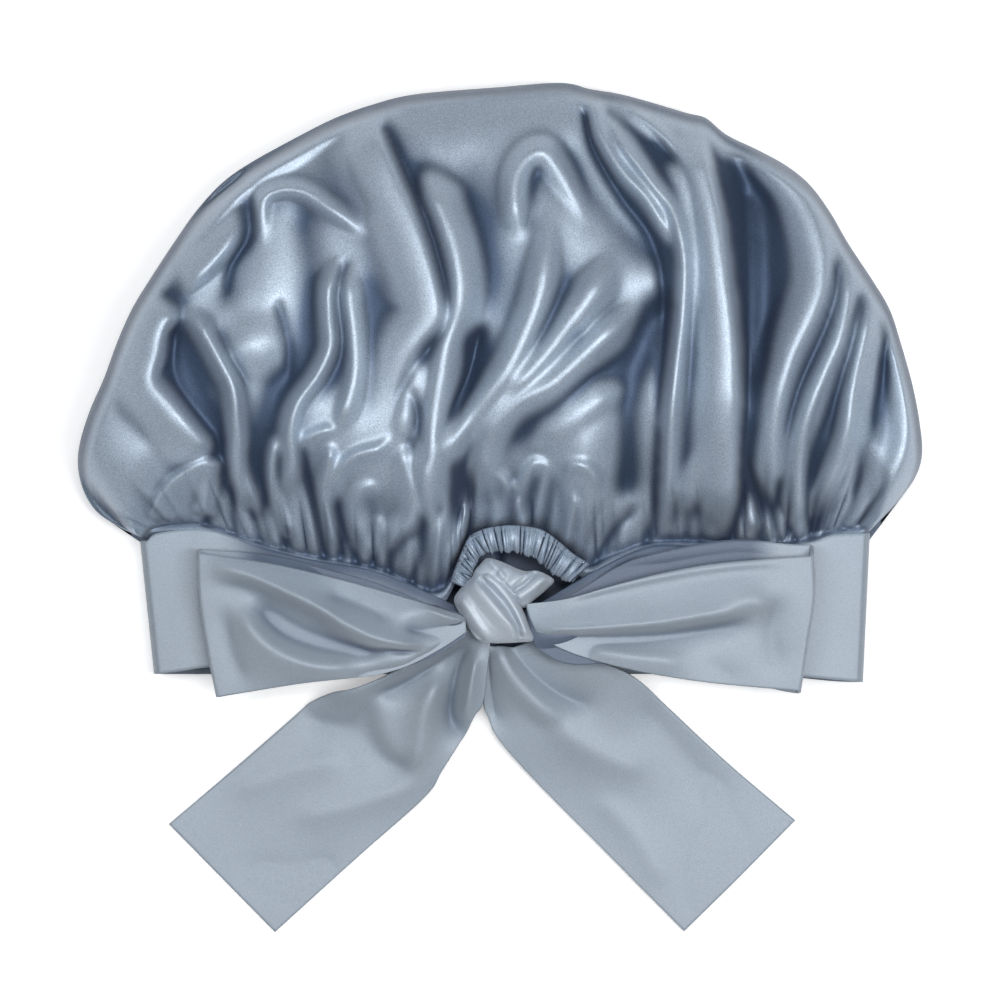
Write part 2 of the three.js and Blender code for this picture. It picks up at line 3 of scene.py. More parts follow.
import bmesh
import bpy
import numpy as np
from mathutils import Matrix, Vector


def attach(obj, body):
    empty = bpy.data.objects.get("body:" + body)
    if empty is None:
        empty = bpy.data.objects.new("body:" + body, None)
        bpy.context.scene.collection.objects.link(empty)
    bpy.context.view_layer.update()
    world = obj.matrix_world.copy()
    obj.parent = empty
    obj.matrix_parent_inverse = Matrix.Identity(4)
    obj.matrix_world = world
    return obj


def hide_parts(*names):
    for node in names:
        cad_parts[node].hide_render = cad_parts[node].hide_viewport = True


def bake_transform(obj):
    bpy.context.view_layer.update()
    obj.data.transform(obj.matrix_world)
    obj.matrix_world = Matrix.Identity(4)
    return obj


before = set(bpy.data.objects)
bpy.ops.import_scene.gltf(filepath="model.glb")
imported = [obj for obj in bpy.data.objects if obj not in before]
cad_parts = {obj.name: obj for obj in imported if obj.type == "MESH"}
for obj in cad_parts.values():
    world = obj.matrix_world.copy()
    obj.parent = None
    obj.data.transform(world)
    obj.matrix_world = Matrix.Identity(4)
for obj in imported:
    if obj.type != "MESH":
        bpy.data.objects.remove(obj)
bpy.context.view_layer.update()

# The camera looks straight down. Traced points are in pixels of the 1000 x 1000 picture,
# heights are in millimetres, and shares run from 0 to 1. At the height LEVEL, in metres,
# one pixel is PIXEL wide.
MM = 0.001
PIXEL = 0.382 * MM
MIDDLE = 500.0
CENTRE_LINE = 499.5
EYE_X = 0.5 * PIXEL
EYE_Y = 8.0 * PIXEL
CAMERA_HEIGHT = 2.4
LEVEL = 0.02
SENSOR = 36.0

# Cloth thickness in millimetres.
TIE_CLOTH = 1.3
BAND_CLOTH = 1.2
ELASTIC_THICKNESS = 0.9
# Points nearer than this, in metres, are one.
WELD = 1e-6
# Keeps a division by nothing from failing.
TINY = 1e-12
LEAST_SHARE = 1e-3

# Points that a curve has between two traced ones. A fold has FOLD_SAMPLES for each traced point, and a crease
# line one for each SAMPLE_STEP pixels, with the least number of each.
CURVE_STEPS = 14
FOLD_SAMPLES = 6
FOLD_LEAST = 8
SAMPLE_STEP = 0.7
LINE_LEAST = 12
# A side of a fold up to STEEP pixels wide is steep. Its foot lies FOOT_SHARE of the height
# below the cloth.
STEEP = 10
FOOT_SHARE = 0.25
FOOT_GAP = 1.0
FOOT_PULL = 0.5
# Folds whose narrower side is under SHARP_UNDER pixels wide keep sharp crests,
# over the width of SHARP_SPREAD blurs.
SHARP_UNDER = 14.0
SHARP_RANGE = 6.0
SHARP_SPREAD = 60
SHARP_FILL = 9.0
SHARP_ROUNDS = 6
SOFT_ROUNDS = 80
# The share of a fold's width that is left at its ends.
TAPER = 0.45
# Rolls with wide sides spread by SIDE_SPREAD, and each fades over at least LEAST_END
# of its length at both ends.
SIDE_SPREAD = 0.35
WIDE_SIDE = (9, 16)
LEAST_END = 0.12
# Places on the last edge of a field count as this far inside it, in cells.
EDGE_INSET = 0.001
# Cloth settles on coarse cells first: the width of a cell in pixels, and the rounds at that width.
DRAPE_LEVELS = ((8, 400), (4, 200), (2, 120), (1, 60))


# Lines and surfaces

def smooth(x, low=0.0, high=1.0):
    """A soft step from 0 at low to 1 at high."""
    t = np.clip((np.asarray(x, float) - low) / (high - low), 0.0, 1.0)
    return t * t * (3.0 - 2.0 * t)


def spline(a, b, c, d, t):
    """A smooth line from b to c, with a and d as its neighbours."""
    return 0.5 * (2 * b + (c - a) * t + (2 * a - 5 * b + 4 * c - d) * t ** 2
                  + (3 * b - a - 3 * c + d) * t ** 3)


def curve(points, count):
    """Evenly spaced samples of a smooth line through points of any dimension."""
    pts = np.array(points, float)
    padded = np.vstack([2 * pts[0] - pts[1], pts, 2 * pts[-1] - pts[-2]])
    t = np.linspace(0, 1, CURVE_STEPS, endpoint=False)[:, None]
    parts = [spline(*padded[i:i + 4], t) for i in range(len(pts) - 1)]
    line = np.vstack(parts + [pts[-1:]])
    steps = np.linalg.norm(np.diff(line[:, :2], axis=0), axis=1)
    run = np.concatenate([[0.0], np.cumsum(steps)])
    at = np.linspace(0, run[-1], count)
    return np.stack([np.interp(at, run, line[:, k]) for k in range(line.shape[1])], axis=1)


def through(rows, count):
    """Samples across: a smooth line through several rows of points, at even shares."""
    rows = [np.asarray(r, float) for r in rows]
    last = len(rows) - 1
    padded = [2 * rows[0] - rows[1]] + rows + [2 * rows[-1] - rows[-2]]
    out = []
    for s in np.linspace(0, last, count):
        i = min(int(s), last - 1)
        out.append(spline(*padded[i:i + 4], s - i))
    return np.array(out)


def between(top, low, columns, share):
    """Pixels of a strip between two curves, at shares of the way across."""
    return toward(curve(top, columns), curve(low, columns), share)


def toward(first, second, share):
    """Pixels between two lines of points, at shares of the way from the first to the second."""
    return [first[None, :, k] + (second - first)[None, :, k] * share for k in (0, 1)]


def fading(along, head, tail):
    """Full in the middle of a line, and nothing at its two ends."""
    return smooth(along / max(head, LEAST_SHARE)) * smooth((1 - along) / max(tail, LEAST_SHARE))


def fold(x, y, points, height, first, second, head, tail):
    """Height that one fold adds. Its two sides have their own widths, in pixels.

    The first side is on the left of a fold that runs down the picture, and below one that runs right.
    """
    line = curve(points, max(FOLD_LEAST, FOLD_SAMPLES * len(points)))
    reach = max(first, second)
    near = ((x > line[:, 0].min() - reach) & (x < line[:, 0].max() + reach)
            & (y > line[:, 1].min() - reach) & (y < line[:, 1].max() + reach))
    out = np.zeros_like(x)
    if not near.any():
        return out
    px, py = x[near], y[near]
    best = np.full(px.shape, np.inf)
    along = np.zeros_like(px)
    side = np.zeros_like(px)
    steps = len(line) - 1
    for i in range(steps):
        ax, ay = line[i]
        dx, dy = line[i + 1] - line[i]
        t = np.clip(((px - ax) * dx + (py - ay) * dy) / (dx * dx + dy * dy + TINY), 0, 1)
        ex = px - ax - t * dx
        ey = py - ay - t * dy
        gap = ex * ex + ey * ey
        nearer = gap < best
        best = np.where(nearer, gap, best)
        along = np.where(nearer, (i + t) / steps, along)
        side = np.where(nearer, dx * ey - dy * ex, side)
    ends = fading(along, head, tail)
    width = np.where(side > 0, first, second) * (TAPER + (1 - TAPER) * ends)
    far = np.clip(np.sqrt(best) / width, 0, 1)
    out[near] = height * (1 - far ** 2) ** 2 * ends
    return out


def overlapping(listed, box, cell, blend):
    """Rounded rolls that overlap: the highest one shows, with a crease where two meet."""
    x0, y0, x1, y1 = box
    x, y = np.meshgrid(np.arange(x0, x1 + cell, cell, dtype=float),
                       np.arange(y0, y1 + cell, cell, dtype=float))
    total = np.zeros_like(x)
    for points, height, first, second, head, tail in listed:
        wide = [side * (1 + SIDE_SPREAD * smooth(side, *WIDE_SIDE)) for side in (first, second)]
        total += fold(x, y, points, height, *wide, max(head, LEAST_END), max(tail, LEAST_END)) ** blend
    return enlarged(total ** (1 / blend), box, cell)


def offset_line(line, away):
    """A line beside a sampled line, on its first side for a positive distance in pixels."""
    d = np.gradient(line, axis=0)
    d /= np.linalg.norm(d, axis=1)[:, None] + TINY
    return line + away * np.stack([-d[:, 1], d[:, 0]], axis=1)


def crease_lines(listed):
    """Samples (px, py, level, pull, sharpness) of each fold's crest, and of the feet of its steep sides."""
    out = []
    for points, height, first, second, head, tail in listed:
        rough = np.array(points, float)
        span = np.linalg.norm(np.diff(rough, axis=0), axis=1).sum()
        line = curve(points, max(LINE_LEAST, int(span / SAMPLE_STEP)))
        pull = fading(np.linspace(0, 1, len(line)), head, tail)
        sharp = np.clip((SHARP_UNDER - min(first, second)) / SHARP_RANGE, 0, 1) * pull
        out.append(np.column_stack([line, np.full(len(line), height), pull, sharp]))
        for width, sign in ((first, 1), (second, -1)):
            if height > 0 and width <= STEEP:
                foot = offset_line(line, sign * (width + FOOT_GAP))
                level = np.full(len(line), -FOOT_SHARE * height)
                out.append(np.column_stack([foot, level, FOOT_PULL * pull, np.zeros_like(pull)]))
    return np.vstack(out)


def cells_of(samples, box, cell, shape):
    """Rows and columns of the cells that samples lie in."""
    col = np.clip(np.rint((samples[:, 0] - box[0]) / cell).astype(int), 0, shape[1] - 1)
    row = np.clip(np.rint((samples[:, 1] - box[1]) / cell).astype(int), 0, shape[0] - 1)
    return row, col


def draped(samples, box, reach, finest=1):
    """Cloth that hangs between crease lines: a height for each cell of the box."""
    x0, y0, x1, y1 = box
    field = None
    for cell, rounds in DRAPE_LEVELS:
        if cell < finest:
            break
        nx = (x1 - x0) // cell + 1
        ny = (y1 - y0) // cell + 1
        if field is None:
            field = np.zeros((ny, nx))
        else:
            field = resampled(field, np.linspace(0, field.shape[1] - 1, nx)[None, :].repeat(ny, 0),
                              np.linspace(0, field.shape[0] - 1, ny)[:, None].repeat(nx, 1))
        at = cells_of(samples, box, cell, (ny, nx))
        pull = np.zeros((ny, nx))
        want = np.zeros((ny, nx))
        np.add.at(pull, at, samples[:, 3] * cell * SAMPLE_STEP)
        np.add.at(want, at, samples[:, 3] * samples[:, 2] * cell * SAMPLE_STEP)
        divide = 1.0 + pull + (cell / reach) ** 2
        for _ in range(rounds):
            p = np.pad(field, 1, mode="edge")
            around = (p[:-2, 1:-1] + p[2:, 1:-1] + p[1:-1, :-2] + p[1:-1, 2:]) / 4
            field = (around + want) / divide
    return field


def cloth_field(samples, box, reach):
    """Draped cloth with soft folds, and sharper crests where a fold has a narrow side."""
    flat = draped(samples, box, reach)
    crisp = np.zeros_like(flat)
    np.maximum.at(crisp, cells_of(samples, box, 1, flat.shape), samples[:, 4])
    crisp = np.clip(SHARP_FILL * blurred(crisp, SHARP_SPREAD), 0, 1)
    soft = blurred(flat, SOFT_ROUNDS)
    return soft + crisp * (blurred(flat, SHARP_ROUNDS) - soft)


def enlarged(field, box, cell):
    """A coarse field at every pixel of its box."""
    x0, y0, x1, y1 = box
    col, row = np.meshgrid(np.arange(x1 - x0 + 1) / cell, np.arange(y1 - y0 + 1) / cell)
    return resampled(field, col, row)


def resampled(field, col, row):
    """Values of a field between its cells."""
    c = np.clip(col, 0, field.shape[1] - 1 - EDGE_INSET)
    r = np.clip(row, 0, field.shape[0] - 1 - EDGE_INSET)
    i = r.astype(int)
    j = c.astype(int)
    a = r - i
    b = c - j
    return ((field[i, j] * (1 - b) + field[i, j + 1] * b) * (1 - a)
            + (field[i + 1, j] * (1 - b) + field[i + 1, j + 1] * b) * a)


def field_at(field, box, px, py):
    """Values of a field with one cell to a pixel, at places in the picture."""
    return resampled(field, px - box[0], py - box[1])


def blurred(grid, rounds):
    """A grid after rounds of evening out each value with its neighbours."""
    g = grid.copy()
    for _ in range(rounds):
        p = np.pad(g, 1, mode="edge")
        g = (p[:-2, 1:-1] + p[2:, 1:-1] + p[1:-1, :-2] + p[1:-1, 2:] + 4 * p[1:-1, 1:-1]) / 8
    return g


def painted_fold_shade(z, full=6.0, rounds=60):
    """Painted shade in the folds: how far each point lies below the cloth around it, as a share of a full
    depth in millimetres.
    """
    return np.clip((blurred(z, rounds) - z) / full, 0, 1)


def placed(px, py, z):
    """Points in metres under the camera for pixels and a height in millimetres."""
    high = np.asarray(z, float) * MM
    scale = PIXEL * (CAMERA_HEIGHT - high) / (CAMERA_HEIGHT - LEVEL)
    return np.stack([EYE_X + (px - MIDDLE) * scale, EYE_Y + (MIDDLE - py) * scale, high], axis=-1)


def joined(axis, *grids):
    """Points in metres of several grids of pixels and heights, one after the other."""
    return placed(*[np.concatenate(parts, axis) for parts in zip(*grids)])


# Mesh objects

def mesh_object(name, verts, faces, material):
    """A smooth mesh in the scene."""
    mesh = bpy.data.meshes.new(name)
    mesh.from_pydata(verts, [], faces)
    mesh.polygons.foreach_set("use_smooth", [True] * len(mesh.polygons))
    mesh.materials.append(material)
    obj = bpy.data.objects.new(name, mesh)
    bpy.context.scene.collection.objects.link(obj)
    return obj


def grid_object(name, points, material, closed=False, shade=None):
    """A mesh from rows x columns of points, with its cloth lengths as UV and painted shade, from depth in the
    folds and elsewhere, in its 'depth' attribute.
    """
    rows, cols = points.shape[:2]
    index = np.arange(rows * cols).reshape(rows, cols)
    nxt = np.roll(index, -1, axis=0) if closed else index[1:]
    cur = index if closed else index[:-1]
    quads = np.stack([cur[:, :-1], cur[:, 1:], nxt[:, 1:], nxt[:, :-1]], axis=-1).reshape(-1, 4)
    obj = mesh_object(name, points.reshape(-1, 3).tolist(), quads.tolist(), material)
    mesh = obj.data
    across = np.zeros((rows, cols))
    across[1:] = np.cumsum(np.linalg.norm(np.diff(points, axis=0), axis=2), axis=0)
    along = np.zeros((rows, cols))
    along[:, 1:] = np.cumsum(np.linalg.norm(np.diff(points, axis=1), axis=2), axis=1)
    flat = np.stack([along.mean(0)[None, :].repeat(rows, 0), across], axis=-1).reshape(-1, 2)
    layer = mesh.uv_layers.new(name="cloth")
    loops = np.zeros(len(mesh.loops), int)
    mesh.loops.foreach_get("vertex_index", loops)
    layer.data.foreach_set("uv", flat[loops].astype(np.float32).ravel())
    if shade is not None:
        # The 'depth' attribute holds painted shade, which the satin mixes into its colour.
        attribute = mesh.attributes.new("depth", "FLOAT", "POINT")
        attribute.data.foreach_set("value", shade.reshape(-1).astype(np.float32))
    mesh.update()
    return obj


def welded(obj):
    """Joins points that lie on one another, which closes the middle of a round form."""
    mesh = bmesh.new()
    mesh.from_mesh(obj.data)
    bmesh.ops.remove_doubles(mesh, verts=mesh.verts, dist=WELD)
    mesh.to_mesh(obj.data)
    mesh.free()
    return obj


def thicken(obj, thickness):
    """Gives a sheet its cloth thickness and keeps the result in the mesh."""
    modifier = obj.modifiers.new("cloth", "SOLIDIFY")
    modifier.thickness = thickness * MM
    modifier.offset = -1.0
    modifier.use_even_offset = False
    bpy.context.view_layer.objects.active = obj
    for other in bpy.context.selected_objects:
        other.select_set(False)
    obj.select_set(True)
    bpy.ops.object.modifier_apply(modifier=modifier.name)
    return obj


# Materials

# Painted shade: the dark navy that the satin's colour is mixed towards where the 'depth' attribute is high.
PAINTED_SHADE_COLOUR = (0.03, 0.055, 0.11)
SHEEN_ROUGHNESS = 0.4
# Scales of the slow changes of colour, the specks, the grain and the threads along and across the cloth.
SLOW_SCALE = 22.0
SLOW_DARKER = 0.93
SPECK_SCALE = 2400.0
GRAIN_SCALE = 1500.0
THREAD_SCALE = (500.0, 2600.0, 1.0)
GRAIN_DEPTH = 0.0001


def wired(tree, node, inputs):
    """Gives inputs of a shader node their values, or links them to other nodes."""
    for name, value in inputs.items():
        if isinstance(value, bpy.types.NodeSocket):
            tree.links.new(value, node.inputs[name])
        else:
            node.inputs[name].default_value = value
    return node


def added(tree, kind, inputs=None, **settings):
    """A new shader node with its settings and inputs."""
    node = tree.nodes.new("ShaderNode" + kind)
    for name, value in settings.items():
        setattr(node, name, value)
    return wired(tree, node, inputs or {})


def new_material(name):
    """A material, and the tree of its nodes."""
    material = bpy.data.materials.new(name)
    material.use_nodes = True
    return material, material.node_tree


def noise(tree, vector, scale, detail):
    """Noise over a vector of places, as a socket with values around a half."""
    return added(tree, "TexNoise", {"Vector": vector, "Scale": scale, "Detail": detail}).outputs["Fac"]


def ranged(tree, value, start, end):
    """A value from one range mapped to another."""
    inputs = {"Value": value, "From Min": start[0], "From Max": start[1], "To Min": end[0], "To Max": end[1]}
    return added(tree, "MapRange", inputs).outputs["Result"]


def ramped(tree, value, *stops):
    """A colour for a value, between two stops of a position and a colour."""
    node = added(tree, "ValToRGB", {"Fac": value})
    for element, (position, colour) in zip(node.color_ramp.elements, stops):
        element.position = position
        element.color = (*colour, 1)
    return node.outputs["Color"]


def satin(name, light, metallic, rough, grain, sheen, speckle, shaded=True):
    """Woven satin: threads, a fine grain and slow changes of colour, and painted shade from the 'depth'
    attribute, darker down in the folds and wherever else that attribute is high.
    """
    material, tree = new_material(name)
    places = added(tree, "TexCoord").outputs
    slow = noise(tree, places["Object"], SLOW_SCALE, 3.0)
    colour = ramped(tree, slow, (0.3, [c * SLOW_DARKER for c in light]), (0.7, light))
    if shaded:
        # Painted shade: the colour is mixed towards a dark navy by the 'depth' attribute.
        down = added(tree, "Attribute", attribute_name="depth").outputs["Fac"]
        inputs = {"Factor": down, "A": colour, "B": (*PAINTED_SHADE_COLOUR, 1)}
        colour = added(tree, "Mix", inputs, data_type="RGBA").outputs["Result"]
    specks = noise(tree, places["Object"], SPECK_SCALE, 1.0)
    bright = ranged(tree, specks, (0.3, 0.7), (1.0 - speckle, 1.0 + speckle))
    woven = added(tree, "VectorMath", {0: colour, "Scale": bright}, operation="SCALE")
    fine = noise(tree, places["Object"], GRAIN_SCALE, 2.0)
    stretch = added(tree, "Mapping", {"Vector": places["UV"], "Scale": THREAD_SCALE})
    threads = noise(tree, stretch.outputs["Vector"], 1.0, 1.0)
    weave = added(tree, "Math", {0: threads, 1: fine}, operation="ADD").outputs["Value"]
    bump = added(tree, "Bump", {"Height": weave, "Strength": grain, "Distance": GRAIN_DEPTH})
    roughness = ranged(tree, fine, (0.0, 1.0), rough)
    wired(tree, tree.nodes["Principled BSDF"], {
        "Base Color": woven.outputs["Vector"], "Metallic": metallic, "Roughness": roughness,
        "Sheen Weight": sheen, "Sheen Roughness": SHEEN_ROUGHNESS, "Normal": bump.outputs["Normal"]})
    return material


gloss = satin("gloss_satin", (0.47, 0.55, 0.645), 0.6, (0.46, 0.6), grain=0.8, sheen=0.1, speckle=0.24)
matt = satin("matt_satin", (0.325, 0.378, 0.435), 0.12, (0.46, 0.62), grain=0.45, sheen=0.25, speckle=0.1)
# Painted light: the knot has its own lighter copy of the ties' satin, standing in for the highlights on its
# folds.
knot_painted_lighter = satin("knot_satin_painted_lighter", (0.51, 0.57, 0.635), 0.2, (0.44, 0.58), grain=0.45, sheen=0.25, speckle=0.1)
rubber = satin("elastic_knit", (0.36, 0.42, 0.49), 0.0, (0.6, 0.8), grain=0.8, sheen=0.2, speckle=0.1,
               shaded=False)
yarn = satin("sewing_thread", (0.34, 0.41, 0.50), 0.2, (0.4, 0.55), grain=0.6, sheen=0.2, speckle=0.1,
             shaded=False)


# Crown

OUTLINE = [
    (140, 537), (118, 526), (97, 512), (84, 492), (78, 467), (80, 442), (90, 410), (104, 378), (118, 340),
    (133, 307), (152, 276), (173, 244), (197, 210), (222, 183), (250, 163), (297, 137), (335, 118),
    (374, 104), (417, 94), (500, 87), (549, 83), (572, 84), (590, 89), (620, 94), (650, 102), (687, 113),
    (706, 118), (727, 135), (758, 150), (787, 166), (810, 185), (830, 212), (848, 243), (873, 281),
    (890, 310), (902, 347), (913, 387), (920, 425), (922, 455), (915, 478), (899, 500), (886, 514),
    (870, 531),
]
SEAM = [
    (140, 537), (154, 529), (178, 525), (206, 526), (258, 543), (304, 555), (374, 568), (410, 583),
    (430, 592), (445, 588), (456, 568), (467, 543), (480, 535), (497, 531), (516, 530), (541, 534),
    (559, 546), (573, 557), (590, 566), (615, 555), (651, 543), (710, 542), (765, 545), (811, 539),
    (832, 532), (856, 529), (870, 531),
]
# Pairs of outline and seam points that one thread of the gathered cloth joins.
THREADS = [
    ((90, 510), (150, 530)), ((79, 442), (165, 526)), ((104, 384), (185, 525)), ((150, 280), (240, 537)),
    ((237, 168), (300, 554)), ((374, 104), (385, 571)), ((440, 90), (430, 592)), ((470, 88), (456, 568)),
    ((500, 86), (480, 535)), ((530, 83), (516, 530)), ((555, 82), (559, 546)), ((572, 84), (590, 566)),
    ((606, 90), (651, 543)), ((704, 116), (735, 543)), ((800, 174), (785, 543)), ((873, 278), (811, 539)),
    ((913, 387), (845, 529)), ((916, 476), (865, 527)),
]
CROWN_BOX = (64, 72, 936, 608)
FRONT_COLUMNS = 400
FRONT_ROWS = 190
BACK_ROWS = 44
LINE_SAMPLES = 3000
EASE_SPAN = 12
# The share of the rows from seam to rim that are evenly spaced; the rest close up at the rim.
EVEN_SPACING = 0.55

# Rolls: a common gain, the cell they are worked out on in pixels, how hard the highest one wins
# where they meet, the mean height that they add, which is taken off again, and the blurs away
# from the seam, with the distances over which they come in.
FOLD_GAIN = 1.25
ROLL_CELL = 2
ROLL_BLEND = 5
ROLL_MEAN_RISE = 2.4
FOLD_ROUNDS = 16
CRISP_SPAN = (20, 80)
# Hollows between the rolls: gain, how far one reaches in pixels, cell and blurs.
HOLLOW_GAIN = 0.8
HOLLOW_REACH = 40.0
HOLLOW_CELL = 4
HOLLOW_ROUNDS = 16
# Crease lines: their gains, as part of the rolls and as fine lines, and how far one reaches in pixels.
CREASE_GAIN = 0.5
CRISP_GAIN = 0.6
GROOVE_GAIN = 0.8
GROOVE_REACH = 8.0
GROOVE_ROUNDS = 3
GROOVE_SIDE = 5
GROOVE_ENDS = (0.02, 0.5)
# A thread of the crown from seam to rim has full folds from the second length on, in pixels.
FULL_LENGTH = (20, 120)
LEAST_HEIGHT = 2.0

# Pleats at the seam: their pitch and reach in pixels, their height and roundness, and the periods
# over which their strength and pitch change. Then the ripple at the back and the finest gathers.
PLEAT_PITCH = 17.0
PLEAT_REACH = 75
PLEAT_RISE = 2.2
PLEAT_ROUND = 0.6
PLEAT_SWAY = 0.8
PLEAT_STRENGTH = 0.35
STRENGTH_PERIOD = 71.0
PHASE_PERIODS = (31.0, 47.0, 83.0)
PHASE_SCALE = 52.0
PHASE_RANGE = 6.28
BACK_PITCH = 19.0
FINE_PITCH = 7.5
FINE_RISE = 0.4

# Painted shade in the satin: the depths in millimetres that make narrow and wide valleys dark, and the limits
# of it, then the painted shade at the rim, at the seam, between the pleats and on the edge under the band.
NARROW_ROUNDS = 25
NARROW_DEPTH = 2.4
WIDE_ROUNDS = 400
WIDE_DEPTH = 3.6
DARKEST = 0.95
SHADE_ROUNDS = 4
RIM_SHADE = 0.7
SEAM_SHADE = 0.8
SEAM_WIDE = 0.3
PLEAT_SHADE = 1.0
PLEAT_LINE = 0.35
TUCK_SHADE = 0.6

# The edge under the band: pixels past the seam, and how it drops. The back edge: its ends and row
# in pixels, its height over the band, the share of the way at which the cloth has turned under the
# rim, and the pixels that the turn takes.
SEAM_TUCK = (14.0, 8.0, 3.0)
TUCK_DROP = 0.6
TUCK_SLOPE = 0.12
BACK_ENDS = (152, 862)
BACK_ROW = 550.0
LAP_LEVEL = 1.6
LAP_RIPPLE = 0.8
TABLE_GAP = 0.7
TURN_SHARE = 0.4
TURN_WIDTH = 20.0

# The crown's dome, in millimetres, with the part's own sizes.
SEAM_ROW = 533.0
HALF_BAND = 140.5
HALF_WIDTH = 161.5
REACH = 172.0
WIDEST = 34.0
LOFTIEST = 62.0
LOFT = 68.0
RIM = 24.0
RIM_DROP = 4
# The roll of the rim on short threads, and what it gains on long ones, in pixels.
RIM_ROLL = (5, 15)
LONG_THREAD = (0, 160)
SIDE_RIM = 8.0
LEFT_FULLNESS = 1.75
RIGHT_FULLNESS = 2.2
TOP_FULLNESS = 2.4
DOME_ROUNDS = 20
LEAST_HALF = 1e-6
RISE_SPAN = 162.0
RISE_SHARE = 0.55
# The front of the band: its height at the side and in the middle, and the cloth over it.
BAND_SIDE = 13.8
BAND_RISE = 12.0
BAND_COVER = 1.2
SEAM_BELOW = 1.5

